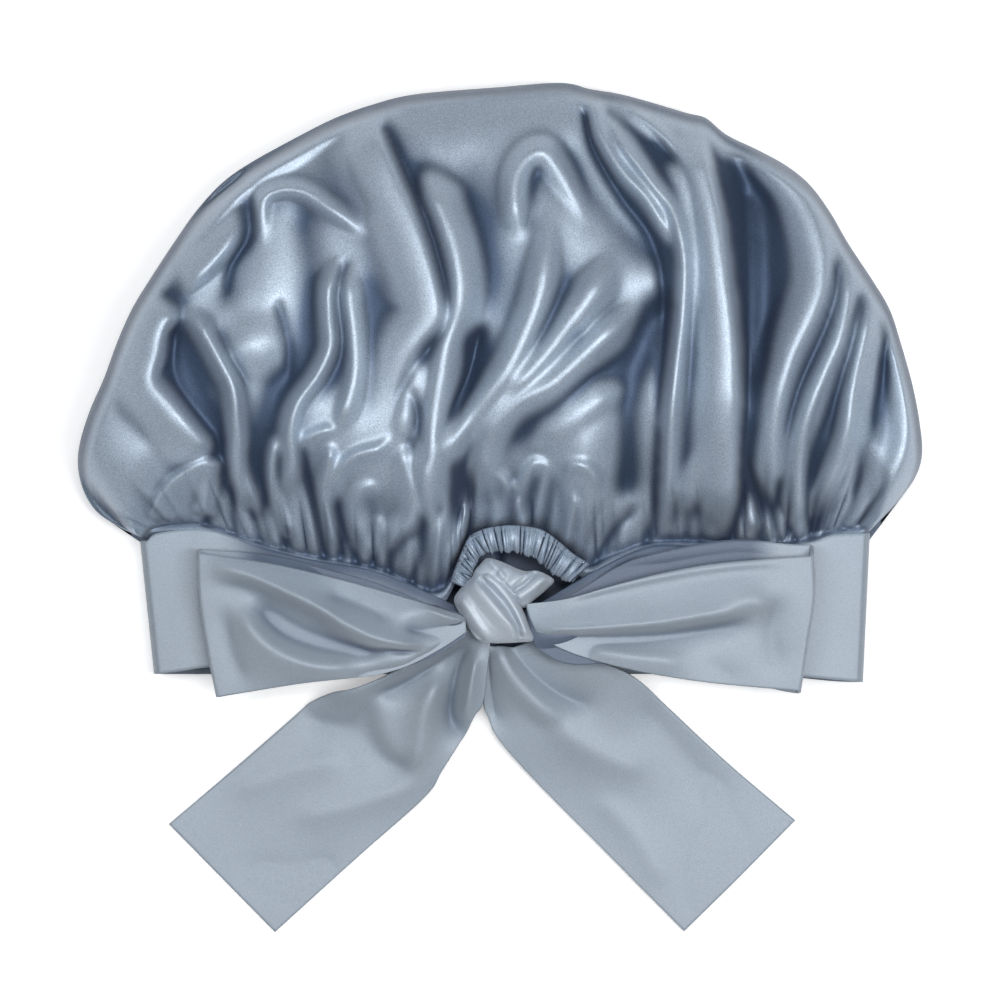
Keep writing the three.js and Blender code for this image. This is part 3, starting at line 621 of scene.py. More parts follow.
# Each fold: its points, its height, the widths of its two sides in pixels, and the shares of its
# length over which it rises at its start and falls at its end. Hollows have heights below 0.
CROWN_FOLDS = [
    # the long crisp fold from the top, and the panel behind it
    ([(388, 106), (377, 126), (394, 169), (417, 221), (435, 278), (440, 310), (432, 330), (409, 358),
      (392, 396), (384, 432)], 9.0, 46, 9, 0.08, 0.4),
    ([(420, 163), (429, 183), (449, 232), (458, 284), (448, 335), (443, 376), (432, 433), (424, 485),
      (421, 530)], 9.0, 17, 26, 0.1, 0.1),
    ([(398, 300), (412, 345), (415, 385), (403, 430), (398, 460)], 4.0, 14, 20, 0.3, 0.3),
    # dark pockets beside it
    ([(472, 330), (465, 370), (459, 400), (455, 425)], -16.0, 13, 24, 0.3, 0.3),
    ([(440, 395), (424, 425), (412, 470)], -8.0, 10, 10, 0.3, 0.3),
    ([(480, 440), (464, 462), (455, 490), (450, 520)], -15.0, 16, 18, 0.25, 0.3),
    # diagonal folds that run into the pinch
    ([(621, 246), (600, 280), (574, 318), (545, 358), (515, 392), (488, 418)], 7.5, 18, 20, 0.25, 0.25),
    ([(645, 298), (612, 330), (578, 362), (548, 388), (518, 402), (500, 418), (486, 442), (483, 472),
      (490, 502)], 7.5, 18, 18, 0.2, 0.15),
    ([(632, 384), (590, 402), (555, 428), (520, 452)], 4.0, 24, 16, 0.3, 0.3),
    ([(652, 330), (618, 362), (580, 398), (545, 424), (520, 440)], -11.0, 12, 14, 0.2, 0.3),
    ([(556, 322), (542, 350), (526, 380)], -4.0, 8, 8, 0.3, 0.3),
    # upside-down U near the top and its trailing fold
    ([(517, 245), (514, 183), (526, 157), (543, 150), (557, 163), (575, 195), (592, 230)],
     6.0, 16, 14, 0.2, 0.4),
    ([(556, 205), (548, 240), (542, 284), (530, 324), (510, 366), (482, 405), (458, 440), (438, 476)],
     7.0, 18, 16, 0.25, 0.1),
    ([(560, 146), (592, 192), (626, 232), (656, 262)], -9.0, 18, 16, 0.3, 0.3),
    ([(412, 182), (424, 162), (446, 186), (470, 212), (496, 228)], -4.0, 10, 10, 0.2, 0.4),
    ([(470, 150), (480, 200), (494, 260), (490, 320)], -4.5, 28, 22, 0.3, 0.3),
    # the pillar of pleats right of the middle
    ([(572, 92), (592, 106), (601, 137), (622, 172), (646, 198), (664, 230), (674, 262)],
     7.0, 9, 12, 0.05, 0.25),
    ([(603, 100), (618, 136), (648, 177), (672, 212), (683, 258), (681, 313), (676, 360), (671, 408),
      (668, 455), (666, 505), (662, 535)], 9.5, 10, 13, 0.1, 0.05),
    ([(606, 92), (640, 118), (672, 146), (689, 181), (698, 221), (704, 275), (708, 313), (706, 350)],
     5.0, 11, 11, 0.1, 0.3),
    ([(703, 118), (702, 140), (712, 181), (721, 221), (728, 275), (735, 327), (738, 370), (738, 433),
      (735, 490), (732, 535)], 13.0, 42, 8, 0.05, 0.03),
    ([(730, 408), (712, 440), (694, 475), (682, 515)], 5.0, 14, 16, 0.2, 0.2),
    # dark smooth panel right of the pillar
    ([(735, 150), (756, 200), (764, 260), (764, 330), (760, 400), (756, 460), (756, 515)],
     -20.0, 24, 36, 0.15, 0.1),
    # dark panel left of the pillar
    ([(664, 300), (640, 350), (630, 400), (628, 450), (625, 500)], -18.0, 40, 20, 0.25, 0.2),
    # folds of the right side
    ([(716, 136), (764, 156), (800, 187), (819, 232), (824, 275), (812, 313), (788, 360), (774, 408),
      (769, 455), (766, 520)], 9.0, 30, 16, 0.15, 0.08),
    ([(838, 235), (847, 262), (850, 290), (840, 341), (817, 398), (802, 446), (796, 503), (782, 532)],
     8.0, 16, 13, 0.2, 0.08),
    ([(866, 280), (869, 310), (855, 379), (846, 436), (826, 484), (805, 522)], 7.5, 13, 13, 0.2, 0.1),
    ([(882, 306), (874, 360), (864, 422), (848, 480), (828, 512)], 4.5, 9, 9, 0.2, 0.2),
    ([(890, 318), (902, 361), (910, 419), (907, 453), (893, 488), (874, 515)], 6.0, 18, 12, 0.2, 0.1),
    ([(888, 350), (887, 400), (878, 450), (858, 492)], -7.0, 14, 14, 0.25, 0.2),
    # left shoulder
    ([(236, 188), (251, 175), (294, 152), (328, 127), (352, 118)], 4.5, 14, 12, 0.2, 0.2),
    ([(264, 250), (262, 203), (279, 190), (303, 192), (325, 206), (351, 224), (372, 244)],
     5.5, 10, 12, 0.25, 0.3),
    ([(300, 208), (307, 260), (306, 310), (304, 350), (292, 392)], -9.0, 17, 16, 0.25, 0.2),
    ([(342, 252), (330, 288), (330, 318), (331, 347), (318, 376), (298, 404), (291, 433), (294, 462),
      (290, 500)], 8.0, 13, 9, 0.15, 0.12),
    ([(352, 258), (346, 290), (351, 335), (352, 376), (340, 419), (333, 438)], 5.0, 8, 16, 0.2, 0.2),
    ([(366, 280), (372, 330), (372, 380), (362, 420)], -3.5, 14, 16, 0.3, 0.3),
    ([(230, 196), (237, 222), (229, 245), (205, 272), (178, 300)], 5.5, 26, 9, 0.4, 0.3),
    ([(252, 205), (250, 240), (238, 275), (215, 300)], -7.0, 10, 16, 0.25, 0.25),
    # left side: the wide panel with its pointed corner
    ([(179, 300), (162, 327), (156, 353), (150, 379), (171, 404), (199, 436), (218, 457)],
     8.0, 34, 13, 0.1, 0.05),
    ([(180, 326), (182, 361), (200, 402), (219, 440), (230, 480)], -10.0, 14, 14, 0.2, 0.2),
    ([(186, 308), (205, 333), (222, 364), (234, 390), (237, 433), (238, 465), (248, 492), (262, 518)],
     8.5, 13, 12, 0.12, 0.1),
    ([(218, 457), (196, 466), (174, 481), (158, 500), (152, 520)], 6.5, 8, 30, 0.02, 0.1),
    ([(218, 457), (215, 480), (209, 518)], 7.0, 16, 7, 0.02, 0.05),
    ([(196, 480), (176, 496), (164, 516)], -6.0, 10, 8, 0.2, 0.1),
    ([(285, 372), (268, 408), (263, 440), (260, 478), (264, 515)], -14.0, 13, 15, 0.2, 0.12),
    ([(232, 312), (250, 340), (262, 384)], 3.5, 30, 34, 0.5, 0.5),
    # the edge of the crown, drawn up into a line
    ([(384, 110), (420, 104), (455, 101), (480, 98), (510, 95), (545, 92), (566, 92), (585, 98)],
     3.0, 7, 8, 0.1, 0.1),
    ([(184, 258), (207, 230), (234, 199), (264, 175), (300, 152), (340, 131), (374, 115)],
     3.0, 8, 8, 0.15, 0.1),
    ([(722, 142), (765, 161), (795, 180), (820, 209), (845, 251), (868, 287), (888, 319)],
     2.5, 8, 7, 0.1, 0.2),
    # small folds over the left gathers
    ([(276, 430), (272, 465), (276, 500), (288, 540)], 6.0, 8, 10, 0.2, 0.1),
    ([(302, 448), (312, 436), (336, 428)], 4.0, 8, 8, 0.2, 0.2),
    ([(331, 440), (329, 465), (324, 500), (336, 550)], 5.5, 8, 8, 0.15, 0.1),
    ([(318, 450), (316, 480), (312, 520)], -5.0, 7, 7, 0.3, 0.2),
    # swirl
    ([(332, 512), (337, 476), (354, 457), (380, 448), (395, 430)], 5.0, 9, 9, 0.2, 0.3),
    ([(357, 540), (352, 512), (358, 494), (371, 487), (381, 494)], 3.5, 9, 8, 0.15, 0.2),
    ([(362, 512), (372, 497), (384, 506), (392, 512)], -4.0, 6, 6, 0.2, 0.3),
    ([(402, 436), (412, 468), (418, 500), (414, 524), (398, 536), (388, 552)], 6.0, 16, 7, 0.2, 0.1),
    ([(378, 512), (377, 530), (372, 556)], 4.0, 6, 6, 0.2, 0.1),
    # right of the pinch
    ([(482, 458), (500, 478), (516, 496)], 4.5, 9, 9, 0.2, 0.2),
    ([(516, 496), (530, 470), (544, 458)], 4.5, 8, 8, 0.1, 0.2),
    ([(516, 496), (521, 512), (524, 528)], 4.0, 6, 6, 0.1, 0.1),
    ([(544, 458), (543, 485), (538, 520)], 4.0, 7, 7, 0.1, 0.1),
    ([(530, 480), (531, 500), (531, 515)], -4.0, 6, 6, 0.3, 0.3),
    ([(562, 476), (574, 466), (590, 470), (602, 488)], 4.0, 7, 7, 0.2, 0.2),
    ([(577, 492), (573, 515), (567, 545)], 4.0, 6, 6, 0.2, 0.1),
    ([(600, 552), (622, 512), (648, 496)], -6.0, 8, 8, 0.2, 0.2),
    ([(440, 478), (444, 505), (440, 540), (436, 580)], 5.0, 6, 8, 0.1, 0.05),
    ([(470, 500), (462, 525), (450, 560)], 4.0, 7, 7, 0.2, 0.1),
    ([(740, 440), (752, 480), (758, 535)], 5.0, 12, 6, 0.05, 0.05),
    ([(790, 430), (787, 470), (795, 510)], -5.0, 6, 6, 0.3, 0.2),
]
# Sharp creases between the rounded pleats, points and depth: first the gathers, from the seam up.
GATHERS = [
    ([(206, 526), (213, 492), (218, 460)], 8), ([(234, 534), (233, 505), (232, 480)], 6),
    ([(262, 544), (250, 505), (241, 465)], 6), ([(285, 549), (277, 500), (280, 440)], 7),
    ([(325, 558), (314, 505), (298, 440)], 8), ([(341, 561), (325, 520), (317, 500)], 4),
    ([(357, 564), (345, 533), (331, 480)], 7), ([(372, 567), (378, 530), (376, 508)], 5),
    ([(388, 573), (395, 545), (414, 530), (418, 500), (404, 440)], 7),
    ([(412, 584), (421, 540), (416, 470)], 9),
    ([(428, 591), (428, 560), (424, 500)], 6), ([(438, 590), (444, 540), (440, 490)], 8),
    ([(447, 586), (456, 540), (462, 500)], 8), ([(456, 568), (462, 545), (470, 520)], 6),
    ([(474, 538), (472, 510), (468, 470)], 6), ([(486, 533), (488, 505), (478, 460)], 4),
    ([(500, 531), (503, 510), (497, 480)], 4), ([(512, 530), (510, 505), (520, 470)], 4),
    ([(530, 532), (528, 505), (545, 460)], 5), ([(543, 535), (548, 505), (552, 470)], 6),
    ([(556, 544), (560, 510), (558, 470)], 5), ([(568, 553), (577, 520), (580, 480)], 6),
    ([(578, 562), (592, 530), (604, 500)], 4), ([(592, 566), (615, 530), (640, 505)], 7),
    ([(646, 543), (656, 500), (660, 420)], 8), ([(668, 542), (672, 510), (672, 480)], 4),
    ([(684, 542), (690, 520), (694, 500)], 3), ([(704, 542), (708, 522), (708, 508)], 3),
    ([(731, 543), (739, 480), (740, 400)], 9), ([(765, 545), (755, 490), (741, 445)], 7),
    ([(781, 544), (768, 500), (764, 460)], 6), ([(797, 542), (782, 510), (776, 470)], 6),
    ([(812, 539), (806, 490), (815, 420), (846, 340)], 6), ([(826, 533), (836, 505), (850, 480)], 6),
    ([(842, 530), (854, 500), (862, 440), (872, 380)], 5), ([(858, 527), (872, 505), (886, 470)], 5),
]
CREASES = [
    # the line beside the long fold, and small lines around it
    ([(412, 392), (420, 430), (424, 470)], 6), ([(341, 135), (354, 180), (375, 221)], 3),
    # left shoulder and side
    ([(252, 200), (249, 237), (231, 268), (226, 305)], 6),
    ([(278, 302), (289, 352), (286, 390)], 5), ([(343, 262), (338, 300), (343, 350), (322, 400)], 4),
    ([(174, 330), (176, 380), (205, 430), (222, 458)], 5), ([(214, 330), (240, 380), (244, 440)], 4),
    # the pleats of the pillar
    ([(584, 109), (594, 150), (622, 198), (652, 240), (664, 300), (659, 380), (654, 440)], 7),
    ([(607, 108), (632, 148), (662, 192), (676, 232)], 5),
    ([(618, 105), (656, 136), (684, 176), (696, 224), (701, 280), (702, 340)], 6),
    # right side
    ([(834, 262), (836, 300), (816, 350), (796, 396), (786, 440)], 5),
    ([(859, 296), (854, 340), (836, 400), (824, 446)], 5), ([(888, 320), (884, 370), (872, 430)], 4),
    # the dark side of the long fold, of the upside-down U and of the wide fold right of the pillar
    ([(384, 126), (402, 166), (426, 219), (444, 277), (449, 312), (440, 336), (416, 364), (399, 402)], 7),
    ([(536, 168), (530, 196), (528, 232)], 3), ([(744, 190), (748, 260), (747, 340), (746, 420)], 6),
    ([(480, 330), (470, 370), (452, 410), (436, 452)], 6),
    ([(580, 330), (548, 366), (516, 398), (490, 428)], 4),
]


def grooves(listed, gain):
    """Crease lines as narrow hollows."""
    return [(points, -gain * depth, GROOVE_SIDE, GROOVE_SIDE, *GROOVE_ENDS) for points, depth in listed]


def line_share(line, point):
    """Where on a sampled line a point lies, as a share of its length."""
    gap = np.linalg.norm(line - np.array(point, float), axis=1)
    return float(np.argmin(gap)) / (len(line) - 1)


def eased(v):
    """A row of values without its sharp bends, with the ends kept."""
    kernel = np.hanning(2 * EASE_SPAN + 1)
    kernel /= kernel.sum()
    before = 2 * v[0] - v[EASE_SPAN:0:-1]
    after = 2 * v[-1] - v[-2:-EASE_SPAN - 2:-1]
    return np.convolve(np.concatenate([before, v, after]), kernel, mode="valid")


def crown_threads():
    """Seam and outline points of each column of the crown, in pixels."""
    outline = curve(OUTLINE, LINE_SAMPLES)
    seam = curve(SEAM, LINE_SAMPLES)
    outer = [0.0] + [line_share(outline, a) for a, _ in THREADS] + [1.0]
    inner = [0.0] + [line_share(seam, b) for _, b in THREADS] + [1.0]
    even = [(a + b) / 2 for a, b in zip(outer, inner)]
    u = np.linspace(0, 1, FRONT_COLUMNS)
    share = np.linspace(0, 1, LINE_SAMPLES)
    ends = []
    for line, stops in ((seam, inner), (outline, outer)):
        at = np.clip(eased(np.interp(u, even, stops)), 0, 1)
        ends.append(np.stack([np.interp(at, share, line[:, k]) for k in (0, 1)], axis=1))
    return ends


def across_mm(px):
    """A place across the picture, in millimetres from the middle of the bonnet."""
    return (px - CENTRE_LINE) * PIXEL / MM


def band_level(px):
    """Height of the front of the band at a place across the picture, in millimetres."""
    return BAND_SIDE + BAND_RISE * (1 - np.clip(across_mm(px) / HALF_BAND, -1, 1) ** 2) + BAND_COVER


def crown_dome(px, py):
    """The puffed crown without folds: height in millimetres over the picture."""
    x = across_mm(px)
    y = (SEAM_ROW - py) * PIXEL / MM
    fullness = np.where(x < 0, LEFT_FULLNESS, RIGHT_FULLNESS)
    up = np.clip((y - WIDEST) / (REACH - WIDEST), 0, 1)
    low = HALF_BAND + (HALF_WIDTH - HALF_BAND) * np.sin(math.pi / 2 * np.clip(y / WIDEST, 0, 1))
    half = np.where(y < WIDEST, low, HALF_WIDTH * (1 - up ** fullness) ** (1 / fullness))
    arch = (1 - np.clip(np.abs(x) / np.maximum(half, LEAST_HALF), 0, 1) ** 2) ** 0.25
    past = np.clip((y - LOFTIEST) / (REACH - LOFTIEST), 0, 1)
    top = RIM + (LOFT - RIM) * np.sqrt(1 - past ** TOP_FULLNESS)
    rim = SIDE_RIM + (RIM - SIDE_RIM) * smooth(y, 0, WIDEST)
    return rim + (top - rim) * arch


def crown_swell(px, py, edge, inside, far, length):
    """The dome, turned down at the rim and drawn in at the seam."""
    dome = blurred(crown_dome(px, py), DOME_ROUNDS)
    rim_level = SIDE_RIM + (RIM - RIM_DROP - SIDE_RIM) * smooth(length, *LONG_THREAD)
    roll = np.clip(inside / (RIM_ROLL[0] + RIM_ROLL[1] * smooth(length, *LONG_THREAD)), 0, 1)
    z = rim_level + (dome - rim_level) * np.sqrt(1 - (1 - roll) ** 2)
    seam_level = band_level(edge[:, 0])[None, :] - SEAM_BELOW
    rise = np.sin(math.pi / 2 * np.clip(far / np.minimum(RISE_SPAN, RISE_SHARE * length + 1), 0, 1))
    return seam_level, seam_level + (z - seam_level) * rise


def crown_relief(px, py, far):
    """Heights of the traced folds, hollows and creases: crisp near the seam and softer away from it."""
    ridges = [f for f in CROWN_FOLDS if f[1] > 0]
    hollows = [f for f in CROWN_FOLDS if f[1] < 0]
    rolled = overlapping(ridges, CROWN_BOX, ROLL_CELL, ROLL_BLEND) - ROLL_MEAN_RISE
    low = draped(crease_lines(hollows), CROWN_BOX, HOLLOW_REACH, HOLLOW_CELL)
    lines = draped(crease_lines(grooves(CREASES, CREASE_GAIN)), CROWN_BOX, GROOVE_REACH)
    gathers = draped(crease_lines(grooves(GATHERS, 1.0)), CROWN_BOX, GROOVE_REACH)
    pleated = blurred(FOLD_GAIN * rolled + lines, SHARP_ROUNDS)
    field = HOLLOW_GAIN * enlarged(blurred(low, HOLLOW_ROUNDS), CROWN_BOX, HOLLOW_CELL)
    field += GROOVE_GAIN * blurred(gathers, GROOVE_ROUNDS)
    field += CRISP_GAIN * blurred(lines, GROOVE_ROUNDS)
    soft = field_at(blurred(pleated, FOLD_ROUNDS), CROWN_BOX, px, py)
    crisp = field_at(pleated, CROWN_BOX, px, py)
    near_seam = 1 - smooth(far, *CRISP_SPAN)
    return field_at(field, CROWN_BOX, px, py) + soft + near_seam * (crisp - soft)


def pleat_waves(edge):
    """Waves along the seam: round pleats, their strength, the back's ripple and the finest gathers."""
    rng = np.random.default_rng(7)
    run = np.concatenate([[0], np.cumsum(np.linalg.norm(np.diff(edge, axis=0), axis=1))])
    phase = np.zeros(FRONT_COLUMNS)
    for period in PHASE_PERIODS:
        phase += np.sin(run / period * 2 * math.pi + rng.uniform(0, PHASE_RANGE)) * period / PHASE_SCALE
    bent = np.abs(np.sin(run / PLEAT_PITCH * math.pi + PLEAT_SWAY * phase))
    pleat = 2 * bent ** PLEAT_ROUND - 1
    strength = 1 - PLEAT_STRENGTH + PLEAT_STRENGTH * np.sin(run / STRENGTH_PERIOD * 2 * math.pi + phase)
    ripple = np.sin(run / BACK_PITCH * 2 * math.pi + phase)
    finest = np.sin(run / FINE_PITCH * 2 * math.pi + 2.0 * phase)
    return pleat[None, :], strength[None, :], ripple[None, :], finest[None, :]


def crown_shade(z, inside, far, full, fan, pleat):
    """Painted shade in the satin: darker down in valleys, at the rim, at the seam and between pleats."""
    near = SEAM_WIDE + (1 - SEAM_WIDE) * smooth(far, 10, 90)
    wide = (blurred(z, WIDE_ROUNDS) - z) / WIDE_DEPTH * near
    valley = np.clip((blurred(z, NARROW_ROUNDS) - z) / NARROW_DEPTH + wide, 0, DARKEST)
    valley = blurred(valley, SHADE_ROUNDS) * smooth(inside, 0, 30)
    at_rim = RIM_SHADE * (1 - smooth(inside, 4, 15)) * full
    at_seam = SEAM_SHADE * (1 - smooth(far, 1, 7)) * full
    in_pleats = PLEAT_SHADE * fan * np.clip(PLEAT_LINE - pleat, 0, 1)
    return np.maximum.reduce([valley, at_rim, at_seam, in_pleats])


def crown_back(edge, rim, rim_height, length, ripple):
    """Under the rim the cloth turns back and lies on the table to the back of the band."""
    back_edge = np.stack([np.clip(edge[:, 0], *BACK_ENDS), np.full(FRONT_COLUMNS, BACK_ROW)], axis=1)
    under = np.linspace(0, 1, BACK_ROWS + 1)[1:, None]
    turn = np.clip(under / TURN_SHARE, 0, 1) * math.pi / 2
    tucked = TURN_WIDTH * smooth(length, 0, 120) / (length + 1)
    straight = tucked + (1 - tucked) * (under - TURN_SHARE) / (1 - TURN_SHARE)
    drawn = np.where(under < TURN_SHARE, tucked * (1 - np.cos(turn)), straight)
    rest = TABLE_GAP + (LAP_LEVEL + LAP_RIPPLE * (1 + ripple)) * smooth(under, 0.75, 0.95)
    return *toward(rim, back_edge, drawn), rest + (rim_height - rest) * (1 - np.sin(turn)) ** 0.9


def crown():
    """The gathered crown: its edge under the band, its puffed front and its back on the table."""
    edge, rim = crown_threads()
    w = np.linspace(0, 1, FRONT_ROWS)
    v = (EVEN_SPACING * w + (1 - EVEN_SPACING) * np.sin(w * math.pi / 2))[:, None]
    px, py = toward(edge, rim, v)
    length = np.linalg.norm(rim - edge, axis=1)[None, :]
    inside = (1 - v) * length
    far = v * length
    full = smooth(length, *FULL_LENGTH)

    seam_level, z = crown_swell(px, py, edge, inside, far, length)
    pleat, strength, ripple, finest = pleat_waves(edge)
    fan = strength * smooth(far, 2, 8) * (1 - smooth(far, 18, PLEAT_REACH)) * full
    z += FINE_RISE * finest * smooth(far, 0, 4) * (1 - smooth(far, 6, 16))
    z += crown_relief(px, py, far) * smooth(inside, 0, 9) * smooth(far, -10, 5) * full
    z += PLEAT_RISE * fan * pleat
    z = blurred(np.maximum(z, LEAST_HEIGHT), 2)
    shade = crown_shade(z, inside, far, full, fan, pleat)

    tuck = np.array(SEAM_TUCK)[:, None]
    outward = (edge - rim) / np.maximum(length.T, 1.0)
    tucked = (*toward(edge, edge + outward, tuck), seam_level - TUCK_DROP - TUCK_SLOPE * tuck)
    back = crown_back(edge, rim, z[-1:, :], length, ripple)
    points = joined(0, tucked, (px, py, z), back)
    # Painted shade: the edge tucked under the band and the back under the rim are darkened.
    shade = np.vstack([np.full_like(tucked[2], TUCK_SHADE), shade, np.full_like(back[2], RIM_SHADE)])
    return grid_object("crown_cloth", points, gloss, shade=shade)


crown_piece = crown()
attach(crown_piece, "bonnet")
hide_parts("crown")


# Ties

TIE_REACH = 34.0
TIE_GAIN = 1.75
TIE_ROUNDS = 5
FIELD_MARGIN = (6, 8)
# Two loops and two tails of the ties are cut to these lengths, in metres.
LEFT_LOOP_CUT = 0.205
RIGHT_LOOP_CUT = 0.22
TAIL_CUT = 0.145
# Guide lines along each piece, from one long edge to the other, as points (px, py, height), and its folds,
# as for the crown.
LEFT_TAIL = [
    [(470, 628, 21), (446, 640, 21), (420, 655, 19), (390, 673, 16), (357, 687, 12), (332, 693, 8),
     (310, 703, 5), (298, 713, 3.5), (236, 767, 2.2), (169, 824, 1.8)],
    [(478, 634, 20), (458, 660, 17), (430, 700, 12), (400, 740, 7), (345, 795, 3.2), (222, 878, 1.8)],
    [(490, 643, 20), (487, 672, 17), (483, 703, 13), (475, 716, 10), (464, 736, 7), (442, 771, 4),
     (425, 797, 2.8), (360, 855, 2), (275, 932, 1.8)],
]
LEFT_TAIL_FOLDS = [
    ([(470, 630), (440, 646), (400, 671), (360, 689), (330, 697)], 4.0, 9, 12, 0.1, 0.2),
    ([(472, 640), (438, 662), (405, 682), (372, 696)], -3.5, 8, 8, 0.1, 0.3),
    ([(466, 650), (455, 680), (450, 712), (458, 734)], -5.5, 14, 9, 0.1, 0.3),
    ([(476, 655), (470, 690), (466, 720)], 3.5, 9, 9, 0.2, 0.3),
    ([(440, 680), (424, 715), (420, 745), (410, 770)], 4.0, 18, 22, 0.2, 0.3),
    ([(384, 690), (378, 706), (384, 735), (396, 755), (415, 764)], 1.2, 16, 16, 0.3, 0.3),
    ([(374, 696), (368, 725), (382, 752), (412, 768)], -1.2, 18, 16, 0.3, 0.3),
    ([(310, 715), (335, 724), (358, 722)], -1.8, 12, 12, 0.3, 0.3),
    ([(300, 818), (350, 806), (400, 790), (436, 768)], 1.6, 22, 22, 0.3, 0.2),
    ([(240, 790), (290, 770), (340, 760)], 1.3, 24, 24, 0.3, 0.3),
    ([(250, 870), (300, 880), (330, 860)], -0.9, 24, 24, 0.3, 0.3),
]
RIGHT_TAIL = [
    [(489, 645, 20), (485, 680, 16), (483, 703, 12), (488, 717, 9.5), (498, 738, 7), (536, 781, 3),
     (610, 856, 2), (684, 931, 1.8)],
    [(508, 648, 19), (528, 690, 15), (575, 745, 7), (650, 820, 2.2), (740, 876, 1.8)],
    [(532, 640, 20), (562, 652, 20), (602, 662, 18), (636, 678, 14), (670, 709, 8), (728, 763, 3),
     (795, 820, 1.8)],
]
RIGHT_TAIL_FOLDS = [
    ([(491, 650), (492, 690), (497, 722)], -4.0, 5, 9, 0.05, 0.3),
    ([(498, 648), (512, 676), (535, 702), (560, 720)], 2.8, 10, 9, 0.1, 0.3),
    ([(505, 640), (520, 665), (556, 692), (590, 704)], -4.5, 14, 20, 0.1, 0.3),
    ([(560, 730), (595, 752), (640, 770)], 2.0, 26, 24, 0.3, 0.3),
    ([(640, 700), (690, 760), (720, 800)], -1.3, 22, 20, 0.3, 0.3),
    ([(600, 800), (640, 840), (660, 880)], 1.2, 24, 24, 0.3, 0.3),
    ([(730, 830), (710, 860), (700, 900)], -1.2, 18, 18, 0.3, 0.3),
]
LEFT_LOOP = [
    [(466, 618, 31), (454, 613, 32), (406, 598, 33), (346, 581, 32), (289, 567, 31), (245, 559, 30),
     (200, 553, 29)],
    [(466, 622, 31), (440, 621, 36), (400, 620, 38), (340, 612, 38), (270, 603, 34), (202, 600, 30)],
    [(466, 628, 31), (440, 640, 36), (400, 656, 37), (340, 658, 36), (270, 655, 33), (210, 652, 29)],
    [(466, 632, 30), (442, 648, 31), (412, 664, 31), (382, 674, 30), (354, 678, 30), (299, 684, 29),
     (219, 697, 27)],
]
LEFT_LOOP_FOLDS = [
    ([(212, 568), (250, 577), (285, 592), (320, 609), (346, 626), (382, 642), (424, 649)],
     5.5, 7, 26, 0.25, 0.1),
    ([(256, 603), (284, 628), (326, 643), (386, 650), (425, 650)], -7.5, 14, 12, 0.3, 0.1),
    ([(240, 612), (262, 640), (290, 658), (320, 668), (350, 668)], 3.0, 14, 13, 0.3, 0.3),
    ([(326, 594), (366, 608), (392, 622)], -2.5, 14, 10, 0.3, 0.3),
    ([(404, 627), (420, 632), (446, 629), (464, 626)], -5.0, 7, 6, 0.2, 0.05),
    ([(224, 610), (232, 650), (245, 680)], -1.8, 12, 14, 0.3, 0.3),
    ([(420, 606), (446, 616), (464, 621)], 2.0, 5, 5, 0.3, 0.1),
]
RIGHT_LOOP = [
    [(526, 604, 31), (566, 599, 33), (612, 586, 34), (658, 574, 34), (704, 565, 33), (750, 560, 32),
     (811, 556, 30)],
    [(528, 614, 31), (590, 612, 34), (660, 604, 34), (740, 598, 33), (812, 598, 30)],
    [(532, 624, 31), (590, 634, 33), (660, 638, 33), (735, 644, 31), (805, 645, 29)],
    [(536, 633, 30), (554, 645, 31), (580, 656, 31), (623, 668, 31), (669, 677, 30), (720, 684, 29),
     (798, 691, 27)],
]
RIGHT_LOOP_FOLDS = [
    ([(540, 631), (596, 629), (658, 624), (704, 617), (745, 611)], 3.6, 5, 22, 0.1, 0.2),
    ([(545, 640), (600, 640), (660, 636), (720, 626), (752, 616)], -3.4, 16, 8, 0.15, 0.25),
    ([(735, 606), (752, 602), (768, 606)], 2.2, 14, 14, 0.3, 0.3),
    ([(776, 600), (772, 635), (778, 665)], -2.2, 15, 15, 0.3, 0.3),
    ([(590, 648), (635, 656), (680, 662)], 2.2, 14, 13, 0.3, 0.3),
    ([(700, 655), (720, 668), (735, 680)], -1.0, 10, 10, 0.3, 0.3),
    ([(560, 602), (612, 588), (660, 577), (720, 567), (790, 561)], 1.5, 4, 5, 0.2, 0.2),
]
LOOP_COLUMNS = 130
LOOP_ROWS = 64
TAIL_COLUMNS = 150
TAIL_ROWS = 64
TURN_COLUMNS = 9
TURN_REACH = 3.0
# A loop's lower leaf: its shift down the picture and what that gains towards the lower edge, in pixels,
# and its drop in millimetres: LEAF_STEP at the knot, and LEAF_DROP more further out.
LEFT_LEAF_SHIFT = (-7, 4)
RIGHT_LEAF_SHIFT = (-21, 14)
LEAF_DROP = 5.5
LEAF_STEP = 2.5
# The least heights of a loop's two leaves over the band and between them, in millimetres.
LOOP_CLEAR = 4.4
LEAF_CLEAR = 1.6
LEAF_GAP = 1.9
LEAF_MEET = 0.45
# LEAF_SHADE is painted shade on the inside of a loop's lower leaf, LEAF_ROUNDS blurs the lower leaf's height,
# and LOOP_DEPTH, in millimetres, is the fold depth at which painted shade is full.
LEAF_SHADE = 0.75
LEAF_ROUNDS = 40
LOOP_DEPTH = 4.5
TAIL_CLEAR = 0.2


def panel(guides, columns, rows, listed):
    """Pixels and heights of a strip between guide lines of (px, py, z), with its folds."""
    grid = through([curve(g, columns) for g in guides], rows)
    px, py, z = grid[..., 0], grid[..., 1], grid[..., 2]
    before, after = FIELD_MARGIN
    box = (int(px.min()) - before, int(py.min()) - before, int(px.max()) + after, int(py.max()) + after)
    field = cloth_field(crease_lines(listed), box, TIE_REACH)
    return px, py, blurred(z + TIE_GAIN * field_at(field, box, px, py), TIE_ROUNDS)


def cloth_strip(name, points, shade, flip, thickness):
    """A strip of matt satin with its thickness, turned over where its rows run the other way."""
    if flip:
        points = points[::-1]
        shade = shade[::-1]
    return thicken(grid_object(name, points, matt, shade=shade), thickness)


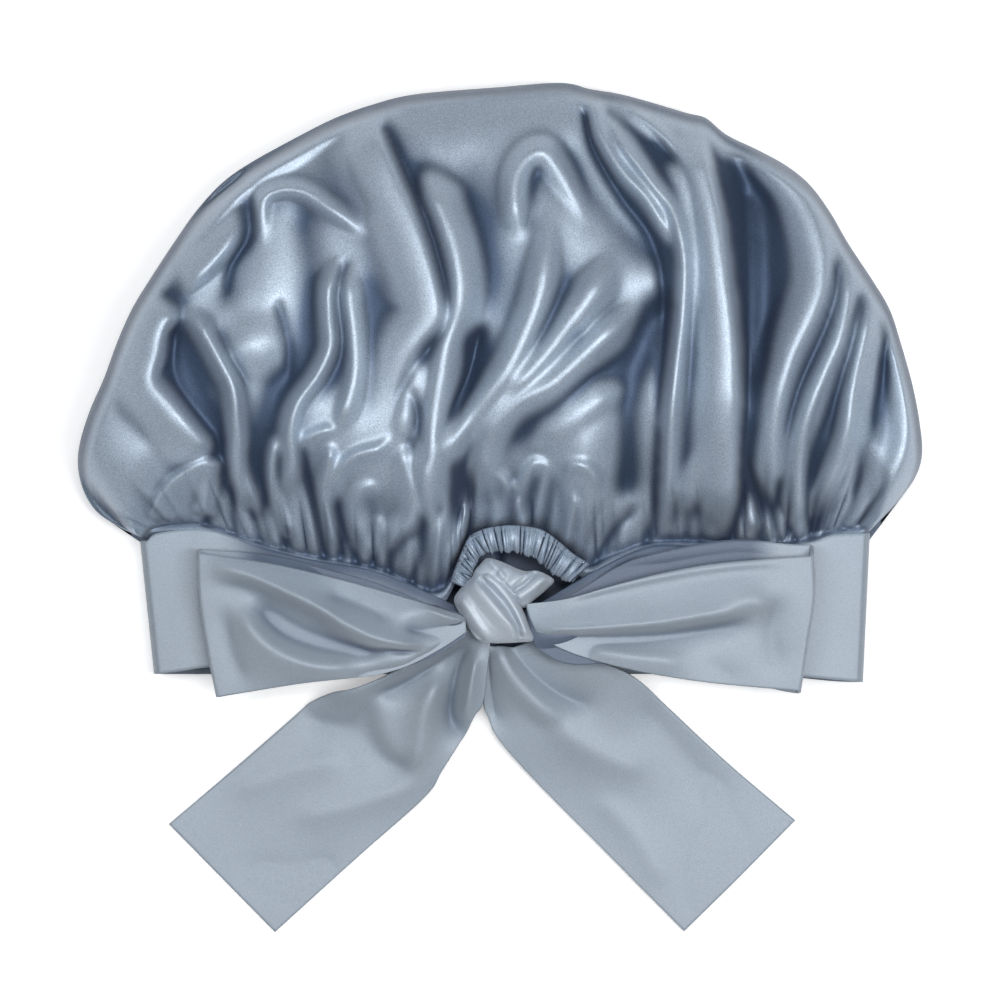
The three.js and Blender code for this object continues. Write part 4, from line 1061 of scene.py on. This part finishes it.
def bow_loop(name, guides, listed, leaf_shift, outward):
    """A loop of the bow, to the left (-1) or the right (1): along the upper leaf and back along the lower."""
    px, py, z = panel(guides, LOOP_COLUMNS, LOOP_ROWS, listed)
    share = np.linspace(0, 1, LOOP_COLUMNS)[None, :]
    drop = LEAF_STEP + LEAF_DROP * smooth(share, 0.0, 0.25)
    rise = smooth(share, 0.08, 0.4) * (1 - LEAF_MEET * smooth(share, 0.72, 1.0))
    by = py + leaf_shift[0] * rise + leaf_shift[1] * np.linspace(0, 1, LOOP_ROWS)[:, None]
    base = blurred(z, LEAF_ROUNDS)
    z = np.maximum(z, band_level(px) + LOOP_CLEAR)
    bz = np.clip(np.minimum(base, z) - drop, band_level(px) + LEAF_CLEAR, z - LEAF_GAP)
    angle = np.linspace(0, math.pi, TURN_COLUMNS + 2)[1:-1][None, :]
    end_z, end_bz = z[:, -1:], bz[:, -1:]
    turn = (px[:, -1:] + outward * np.sin(angle) * TURN_REACH,
            py[:, -1:] + (by[:, -1:] - py[:, -1:]) * (1 - np.cos(angle)) / 2,
            (end_z + end_bz) / 2 + (end_z - end_bz) / 2 * np.cos(angle))
    # Painted shade on the lower leaf, dark inside the loop and fading towards its outer end.
    dark = LEAF_SHADE * (1 - smooth(share, 0.78, 0.9)) + 0 * bz
    shade = np.hstack([painted_fold_shade(z, LOOP_DEPTH), np.zeros_like(turn[2]), dark[:, ::-1]])
    points = joined(1, (px, py, z), turn, (px[:, ::-1], by[:, ::-1], bz[:, ::-1]))
    return cloth_strip(name, points, shade, outward > 0, TIE_CLOTH)


def bow_tail(name, guides, listed, flip):
    """A tail of the bow, down to the table."""
    px, py, z = panel(guides, TAIL_COLUMNS, TAIL_ROWS, listed)
    z = np.maximum(z, TIE_CLOTH + TAIL_CLEAR)
    # Painted shade in the tail's folds.
    return cloth_strip(name, placed(px, py, z), painted_fold_shade(z), flip, TIE_CLOTH)


left_loop = bow_loop("left_loop_cloth", LEFT_LOOP, LEFT_LOOP_FOLDS, LEFT_LEAF_SHIFT, -1)
right_loop = bow_loop("right_loop_cloth", RIGHT_LOOP, RIGHT_LOOP_FOLDS, RIGHT_LEAF_SHIFT, 1)
left_tail = bow_tail("left_tail_cloth", LEFT_TAIL, LEFT_TAIL_FOLDS, False)
right_tail = bow_tail("right_tail_cloth", RIGHT_TAIL, RIGHT_TAIL_FOLDS, True)

for piece, nodes, held, cut in (
        (left_loop, ("left_loop", "left_loop_throat"), "folded", LEFT_LOOP_CUT),
        (right_loop, ("right_loop", "right_loop_throat"), "folded", RIGHT_LOOP_CUT),
        (left_tail, ("left_tail", "left_tail_throat"), "draped", TAIL_CUT),
        (right_tail, ("right_tail", "right_tail_throat"), "draped", TAIL_CUT)):
    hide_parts(*nodes)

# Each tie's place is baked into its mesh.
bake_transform(left_loop)
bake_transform(right_loop)
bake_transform(left_tail)
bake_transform(right_tail)


# Band

BAND_LEFT_TOP = [(147, 541), (158, 533), (206, 530), (258, 546), (304, 558), (374, 571), (426, 592),
                 (452, 604), (478, 618)]
BAND_LEFT_LOW = [(161, 674), (182, 671), (211, 667), (280, 664), (350, 655), (420, 642), (478, 630)]
BAND_RIGHT_TOP = [(863, 533), (832, 535), (811, 542), (765, 548), (700, 546), (651, 546), (600, 568),
                  (575, 582), (545, 600), (515, 616)]
BAND_RIGHT_LOW = [(856, 682), (835, 680), (801, 677), (740, 675), (660, 668), (600, 650), (515, 630)]
BAND_ROWS = 40
BAND_COLUMNS = 90
# The front leaf lies BAND_GAP below the crown's edge, with slow ripples, and dips under the knot.
BAND_GAP = 0.2
BAND_RIPPLE = (13.0, 31.0)
KNOT_COLUMN = 497
KNOT_DIP = 3.0
# The sides: their places across the picture, how far they bulge in pixels, and the columns round each.
LEFT_SIDE = 147
RIGHT_SIDE = 866
SIDE_BULGE = 7.0
SIDE_COLUMNS = 12
# The back leaf on the table: its height in millimetres, and its upper and lower edges in pixels.
BACK_LEVEL = 1.6
BACK_TOP = 536
BACK_LOW = 674.0
BACK_COLUMNS = 40
# Painted shade at the crown's edge, round the side, and inside on the back leaf: in the middle and at the
# least.
EDGE_SHADE = 0.9
SIDE_SHADE = 0.1
INNER_SHADE = (0.95, 0.3)


def band_half(name, top, low, side_x, flip):
    """Half of the band: its front leaf, round the side and along the table to the middle of the back."""
    share = np.linspace(0, 1, BAND_ROWS)[:, None]
    px, py = between(top, low, BAND_COLUMNS, share)
    from_side = np.abs(px - side_x)
    wave = np.sin(px / BAND_RIPPLE[0] + py / BAND_RIPPLE[1])
    z = band_level(px) - BAND_GAP + wave * smooth(from_side, 20, 90)
    z -= KNOT_DIP * smooth(np.abs(px - KNOT_COLUMN), 120, 20)

    side_px, side_py, side_z = px[:, :1], py[:, :1], z[:, :1]
    angle = np.linspace(0, math.pi, SIDE_COLUMNS + 2)[1:-1][None, ::-1]
    side = (side_px - np.sign(MIDDLE - side_x) * SIDE_BULGE * np.sin(angle), side_py + 0 * angle,
            (side_z + BACK_LEVEL) / 2 + (side_z - BACK_LEVEL) / 2 * np.cos(angle))

    back = np.linspace(0, 1, BACK_COLUMNS)[None, :-1]
    bx = CENTRE_LINE + (side_px - CENTRE_LINE) * back
    straight = BACK_TOP + (BACK_LOW - BACK_TOP) * share
    by = straight + (side_py - straight) * smooth(back, 0.7, 1.0)
    points = joined(1, (bx, by, np.full_like(bx, BACK_LEVEL)), side, (px, py, z))

    # Painted shadow on the front leaf under the crown's edge, and painted shade on the inside of the back
    # leaf that shows through the mouth.
    front_shade = EDGE_SHADE * smooth(from_side, 60, 130) * (1 - smooth(py - py[:1], 3, 24))
    inner_shade = np.maximum(INNER_SHADE[0] * (1 - smooth(back, 0.2, 0.4)), INNER_SHADE[1]) + 0 * by
    shade = np.hstack([inner_shade, np.full_like(side[2], SIDE_SHADE), front_shade])
    return cloth_strip(name, points, shade, flip, BAND_CLOTH)


band_left = band_half("headband_left_cloth", BAND_LEFT_TOP, BAND_LEFT_LOW, LEFT_SIDE, True)
band_right = band_half("headband_right_cloth", BAND_RIGHT_TOP, BAND_RIGHT_LOW, RIGHT_SIDE, False)
for piece, node in ((band_left, "headband_left"), (band_right, "headband_right")):
    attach(piece, "bonnet")
    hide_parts(node)


# Knot

KNOT_WRAP = [(469, 580), (461, 588), (454, 599), (458, 611), (466, 624), (477, 639), (490, 643), (506, 643),
             (524, 642), (535, 640), (529, 624), (522, 608), (513, 593), (500, 578), (486, 570), (477, 573)]
KNOT_WRAP_FOLDS = [
    ([(472, 580), (484, 594), (499, 612), (512, 628), (518, 641)], 3.4, 14, 6, 0.05, 0.05),
    ([(478, 578), (492, 591), (506, 607), (516, 624), (521, 640)], -3.4, 5, 6, 0.05, 0.05),
    ([(484, 572), (500, 583), (513, 600), (521, 616), (528, 636)], 3.0, 9, 4, 0.05, 0.05),
    ([(457, 604), (465, 619), (475, 633), (486, 642)], -2.6, 3, 4, 0.05, 0.05),
    ([(460, 596), (472, 617), (484, 634), (492, 642)], 1.6, 5, 7, 0.1, 0.1),
]
KNOT_OVER = [(483, 561), (488, 558), (500, 561), (509, 565), (524, 571), (538, 571), (554, 580), (546, 590),
             (534, 600), (524, 608), (510, 600), (494, 588), (474, 584), (474, 572)]
KNOT_OVER_FOLDS = [
    ([(505, 563), (498, 569), (494, 577)], -1.6, 3, 3, 0.1, 0.2),
    ([(488, 560), (496, 568), (506, 580)], 1.6, 5, 5, 0.1, 0.1),
    ([(524, 571), (516, 580), (508, 587)], 1.6, 9, 5, 0.1, 0.1),
    ([(536, 572), (526, 583), (512, 592)], -3.0, 3, 4, 0.05, 0.05),
    ([(546, 576), (533, 589), (518, 599)], 2.2, 7, 6, 0.05, 0.05),
]
KNOT_RINGS = 26
KNOT_SPOKES = 96
KNOT_ROUND = 2.6
# The fold depth, in millimetres, at which the knot's painted shade is full.
KNOT_DEPTH = 14.0


def pillow(name, outline, level, dome, under, listed):
    """A closed soft form over an outline, with folds on its upper side."""
    edge = curve(outline + [outline[0]], KNOT_SPOKES + 1)[:-1]
    share = np.linspace(0, 1, KNOT_RINGS)[:, None]
    px, py = toward(np.broadcast_to(edge.mean(axis=0), edge.shape), edge, share)
    rounded = np.sqrt(np.clip(1 - share ** KNOT_ROUND, 0, 1))
    folds = sum(fold(px, py, *entry) for entry in listed)
    z = level + dome * rounded + folds * smooth(rounded, 0.0, 0.5)
    low = level - under * rounded + 0 * px
    points = joined(0, (px, py, z), (px[::-1], py[::-1], low[::-1])).swapaxes(0, 1)
    # Painted shade in the folds of the upper side; the underside has none.
    shade = np.vstack([painted_fold_shade(z, KNOT_DEPTH), np.zeros_like(px)]).T
    return welded(grid_object(name, points, knot_painted_lighter, closed=True, shade=shade))


# Each form of the knot: the height of its widest place, and how far it stands over and under that.
knot_wrap = pillow("knot_wrap_cloth", KNOT_WRAP, 28.0, 11.0, 11.0, KNOT_WRAP_FOLDS)
knot_core = pillow("knot_core_cloth", KNOT_OVER, 27.0, 9.0, 6.0, KNOT_OVER_FOLDS)
for piece, node in ((knot_wrap, "knot_wrap"), (knot_core, "knot_core")):
    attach(piece, "bonnet")
    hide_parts(node)


# Ruched casing with its elastic and stitching

CASING_TOP = [(450, 582), (458, 560), (468, 538), (480, 530), (497, 526), (516, 525), (541, 529), (559, 541),
              (573, 553), (590, 564)]
CASING_LOW = [(470, 590), (474, 570), (482, 556), (491, 554), (506, 552), (522, 554), (532, 558), (544, 566),
              (556, 577), (572, 582)]
CASING_COLUMNS = 420
CASING_ROWS = 30
# The casing's heights at the edges and over and under them, in millimetres, then its ruches and their small
# puckers:
# how many, how high, how they sway along the casing and lean across it.
CASING_TOP_LEVEL = 25.6
CASING_SWELL = 3.0
CASING_LOW_LEVEL = 24.0
CASING_SAG = 1.2
RUCHES = 13
RUCHE_RISE = 2.2
RUCHE_WAVE = 1.4
RUCHE_SAG = 0.8
RUCHE_SWAY = 2.2
RUCHE_LEAN = 0.8
PUCKERS = 61
PUCKER_RISE = 0.25
PUCKER_SWAY = 2.3
PUCKER_LEAN = 4.0
# Painted shade between the ruches: the crease depth in millimetres at which it is full, and a painted shade
# laid over the whole upper side.
RUCHE_DEPTH = 0.35
RUCHE_SHADE = 0.12
# The elastic: the shares of the casing's width that it lies between, its height and its ribs.
ELASTIC_COLUMNS = 160
ELASTIC_ROWS = 9
ELASTIC_SHARES = (0.25, 0.72)
ELASTIC_LEVEL = 26.4
RIB_RISE = 0.15
# The stitches: the samples of their line, the first and the span of them that are sewn, the share
# of the casing's width at which they lie, and their height and thickness in millimetres.
THREAD_SAMPLES = 600
THREAD_START = 20
THREAD_SPAN = 560
THREAD_SHARE = 0.16
STITCHES = 44
STITCH_SPAN = 8
STITCH_POINTS = 6
STITCH_LEVEL = 30.4
STITCH_RISE = 0.5
STITCH_RADIUS = 0.22
STITCH_SIDES = 6
STITCH_END = 0.55


def casing():
    """The gathered channel: fat ruches with sharp creases between them, painted shade in the creases and full
    painted shade underneath.
    """
    share = np.linspace(0, 1, CASING_ROWS)[:, None]
    run = np.linspace(0, 1, CASING_COLUMNS)
    rng = np.random.default_rng(11)
    phase = sum(rng.uniform(0.5, 1.4) * np.sin(2 * math.pi * (k * run + rng.uniform()))
                for k in (3, 5, 9, 14))
    angle = 2 * math.pi * RUCHES * run + RUCHE_SWAY * phase
    ruche = np.sin(angle)[None, :]
    fat = 2 * np.abs(np.sin(angle[None, :] / 2 + RUCHE_LEAN * (share - 0.5))) ** 0.5 - 1
    small = np.sin(2 * math.pi * PUCKERS * run + PUCKER_SWAY * phase + PUCKER_LEAN * share)
    rounded = np.sin(share * math.pi) ** 0.6
    px, py = between(CASING_TOP, CASING_LOW, CASING_COLUMNS, share)
    py = py + RUCHE_WAVE * ruche * smooth(share, 0.6, 1.0)
    swell = CASING_TOP_LEVEL + CASING_SWELL * rounded
    z = swell + (RUCHE_RISE * fat + PUCKER_RISE * small) * (0.35 + 0.65 * rounded)
    low = CASING_LOW_LEVEL - CASING_SAG * rounded + RUCHE_SAG * ruche * smooth(share, 0.5, 1.0)
    points = joined(0, (px, py, z), (px[::-1], py[::-1], low[::-1]))
    # Painted shade in the creases, and full painted shade on the underside.
    dark = np.clip((blurred(z, 8) - z) / RUCHE_DEPTH + RUCHE_SHADE, 0, 1)
    shade = np.vstack([dark, np.ones_like(z)])
    return grid_object("elastic_casing_cloth", points[::-1], gloss, closed=True, shade=shade[::-1])


def elastic():
    """The flat ribbed elastic that the casing is gathered on."""
    share = np.linspace(*ELASTIC_SHARES, ELASTIC_ROWS)[:, None]
    px, py = between(CASING_TOP, CASING_LOW, ELASTIC_COLUMNS, share)
    z = ELASTIC_LEVEL + RIB_RISE * np.cos(np.arange(ELASTIC_ROWS) * math.pi)[:, None] + 0 * px
    return thicken(grid_object("elastic_strip_knit", placed(px, py, z)[::-1], rubber), ELASTIC_THICKNESS)


def merged_tubes(name, paths, radius, material):
    """One mesh of several round threads, each along its own points in metres."""
    turns = 2 * math.pi * np.arange(STITCH_SIDES)[None, :, None] / STITCH_SIDES
    verts, faces = [], []
    for path in paths:
        d = np.gradient(path, axis=0)
        d /= np.linalg.norm(d, axis=1)[:, None] + TINY
        across = np.cross(d, (0.0, 0.0, 1.0))
        across /= np.linalg.norm(across, axis=1)[:, None] + TINY
        upward = np.cross(across, d)
        slim = np.full((len(path), 1, 1), radius)
        slim[[0, -1]] *= STITCH_END
        ring = np.cos(turns) * across[:, None, :] + np.sin(turns) * upward[:, None, :]
        index = len(verts) + np.arange(len(path) * STITCH_SIDES).reshape(-1, STITCH_SIDES)
        beside = np.roll(index, -1, axis=1)
        quads = np.stack([index[:-1], beside[:-1], beside[1:], index[1:]], axis=-1).reshape(-1, 4)
        verts += (path[:, None, :] + slim * ring).reshape(-1, 3).tolist()
        faces += quads.tolist() + [index[0, ::-1].tolist(), index[-1].tolist()]
    return mesh_object(name, verts, faces, material)


def stitching():
    """Stitches along the upper edge of the casing."""
    px, py = between(CASING_TOP, CASING_LOW, THREAD_SAMPLES, THREAD_SHARE)
    lift = STITCH_LEVEL + STITCH_RISE * np.sin(np.linspace(0, math.pi, STITCH_POINTS))
    paths = []
    for k in range(STITCHES):
        first = THREAD_START + int(k * THREAD_SPAN / STITCHES)
        run = np.linspace(first, first + STITCH_SPAN, STITCH_POINTS).astype(int)
        paths.append(placed(px[0, run], py[0, run], lift))
    return merged_tubes("casing_thread_stitches", paths, STITCH_RADIUS * MM, yarn)


casing_piece = casing()
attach(casing_piece, "bonnet")
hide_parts("elastic_casing")

elastic_piece = elastic()
thread_piece = stitching()
for piece, node, finish in ((elastic_piece, "elastic_strip", "elastic"),
                            (thread_piece, "casing_thread", "thread")):
    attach(piece, "bonnet")
    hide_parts(node)


# Floor, light and camera

FLOOR_REACH = 3.0
# How much the floor glows where the camera sees it, so that it is white in the picture.
FLOOR_LIFT = 0.35
DIM = (0.04, 0.045, 0.055)
BRIGHT = (0.25, 0.27, 0.295)
WHITE = (1, 1, 1, 1)


def paper():
    """White paper."""
    material, tree = new_material("floor_paper")
    rays = added(tree, "LightPath").outputs
    either = {0: rays["Is Camera Ray"], 1: rays["Is Transmission Ray"]}
    seen = added(tree, "Math", either, operation="MAXIMUM")
    glow = added(tree, "Math", {0: seen.outputs["Value"], 1: FLOOR_LIFT}, operation="MULTIPLY")
    wired(tree, tree.nodes["Principled BSDF"], {
        "Base Color": (0.9, 0.9, 0.9, 1), "Roughness": 0.9, "Emission Color": WHITE,
        "Emission Strength": glow.outputs["Value"]})
    return material


def studio(tree):
    """A room that is bright above and dim towards the horizon, and white where it is seen."""
    place = added(tree, "TexCoord").outputs["Generated"]
    up = added(tree, "SeparateXYZ", {"Vector": place}).outputs["Z"]
    room = wired(tree, tree.nodes["Background"], {"Color": ramped(tree, up, (0.1, DIM), (0.95, BRIGHT))})
    white = added(tree, "Background", {"Color": WHITE})
    seen = added(tree, "LightPath").outputs["Is Camera Ray"]
    both = {"Fac": seen, 1: room.outputs["Background"], 2: white.outputs["Background"]}
    mix = added(tree, "MixShader", both)
    wired(tree, tree.nodes["World Output"], {"Surface": mix.outputs["Shader"]})


def softbox(name, place, size, power):
    """A wide light that shines on the middle of the table and isn't seen."""
    data = bpy.data.lights.new(name, "AREA")
    data.shape = "RECTANGLE"
    data.size, data.size_y = size
    data.energy = power
    obj = bpy.data.objects.new(name, data)
    obj.location = place
    obj.rotation_euler = (-Vector(place)).to_track_quat("-Z", "Y").to_euler()
    obj.visible_camera = False
    bpy.context.scene.collection.objects.link(obj)


corners = [(x * FLOOR_REACH, y * FLOOR_REACH, 0) for x, y in ((-1, -1), (1, -1), (1, 1), (-1, 1))]
mesh_object("floor", corners, [(0, 1, 2, 3)], paper())

world = bpy.data.worlds.new("studio")
bpy.context.scene.world = world
world.use_nodes = True
studio(world.node_tree)

softbox("key", (-0.72, 0.10, 1.50), (0.40, 0.9), 8.0)
softbox("fill", (0.66, -0.10, 1.50), (0.30, 0.9), 13.5)
softbox("top", (0.06, 0.30, 1.70), (0.34, 0.30), 6.0)

camera_data = bpy.data.cameras.new("camera")
camera_data.sensor_width = SENSOR
camera_data.lens = SENSOR * (CAMERA_HEIGHT - LEVEL) / (2 * MIDDLE * PIXEL)
camera = bpy.data.objects.new("camera", camera_data)
camera.location = (EYE_X, EYE_Y, CAMERA_HEIGHT)
bpy.context.scene.collection.objects.link(camera)
bpy.context.scene.camera = camera
bpy.context.scene.view_settings.view_transform = "Standard"
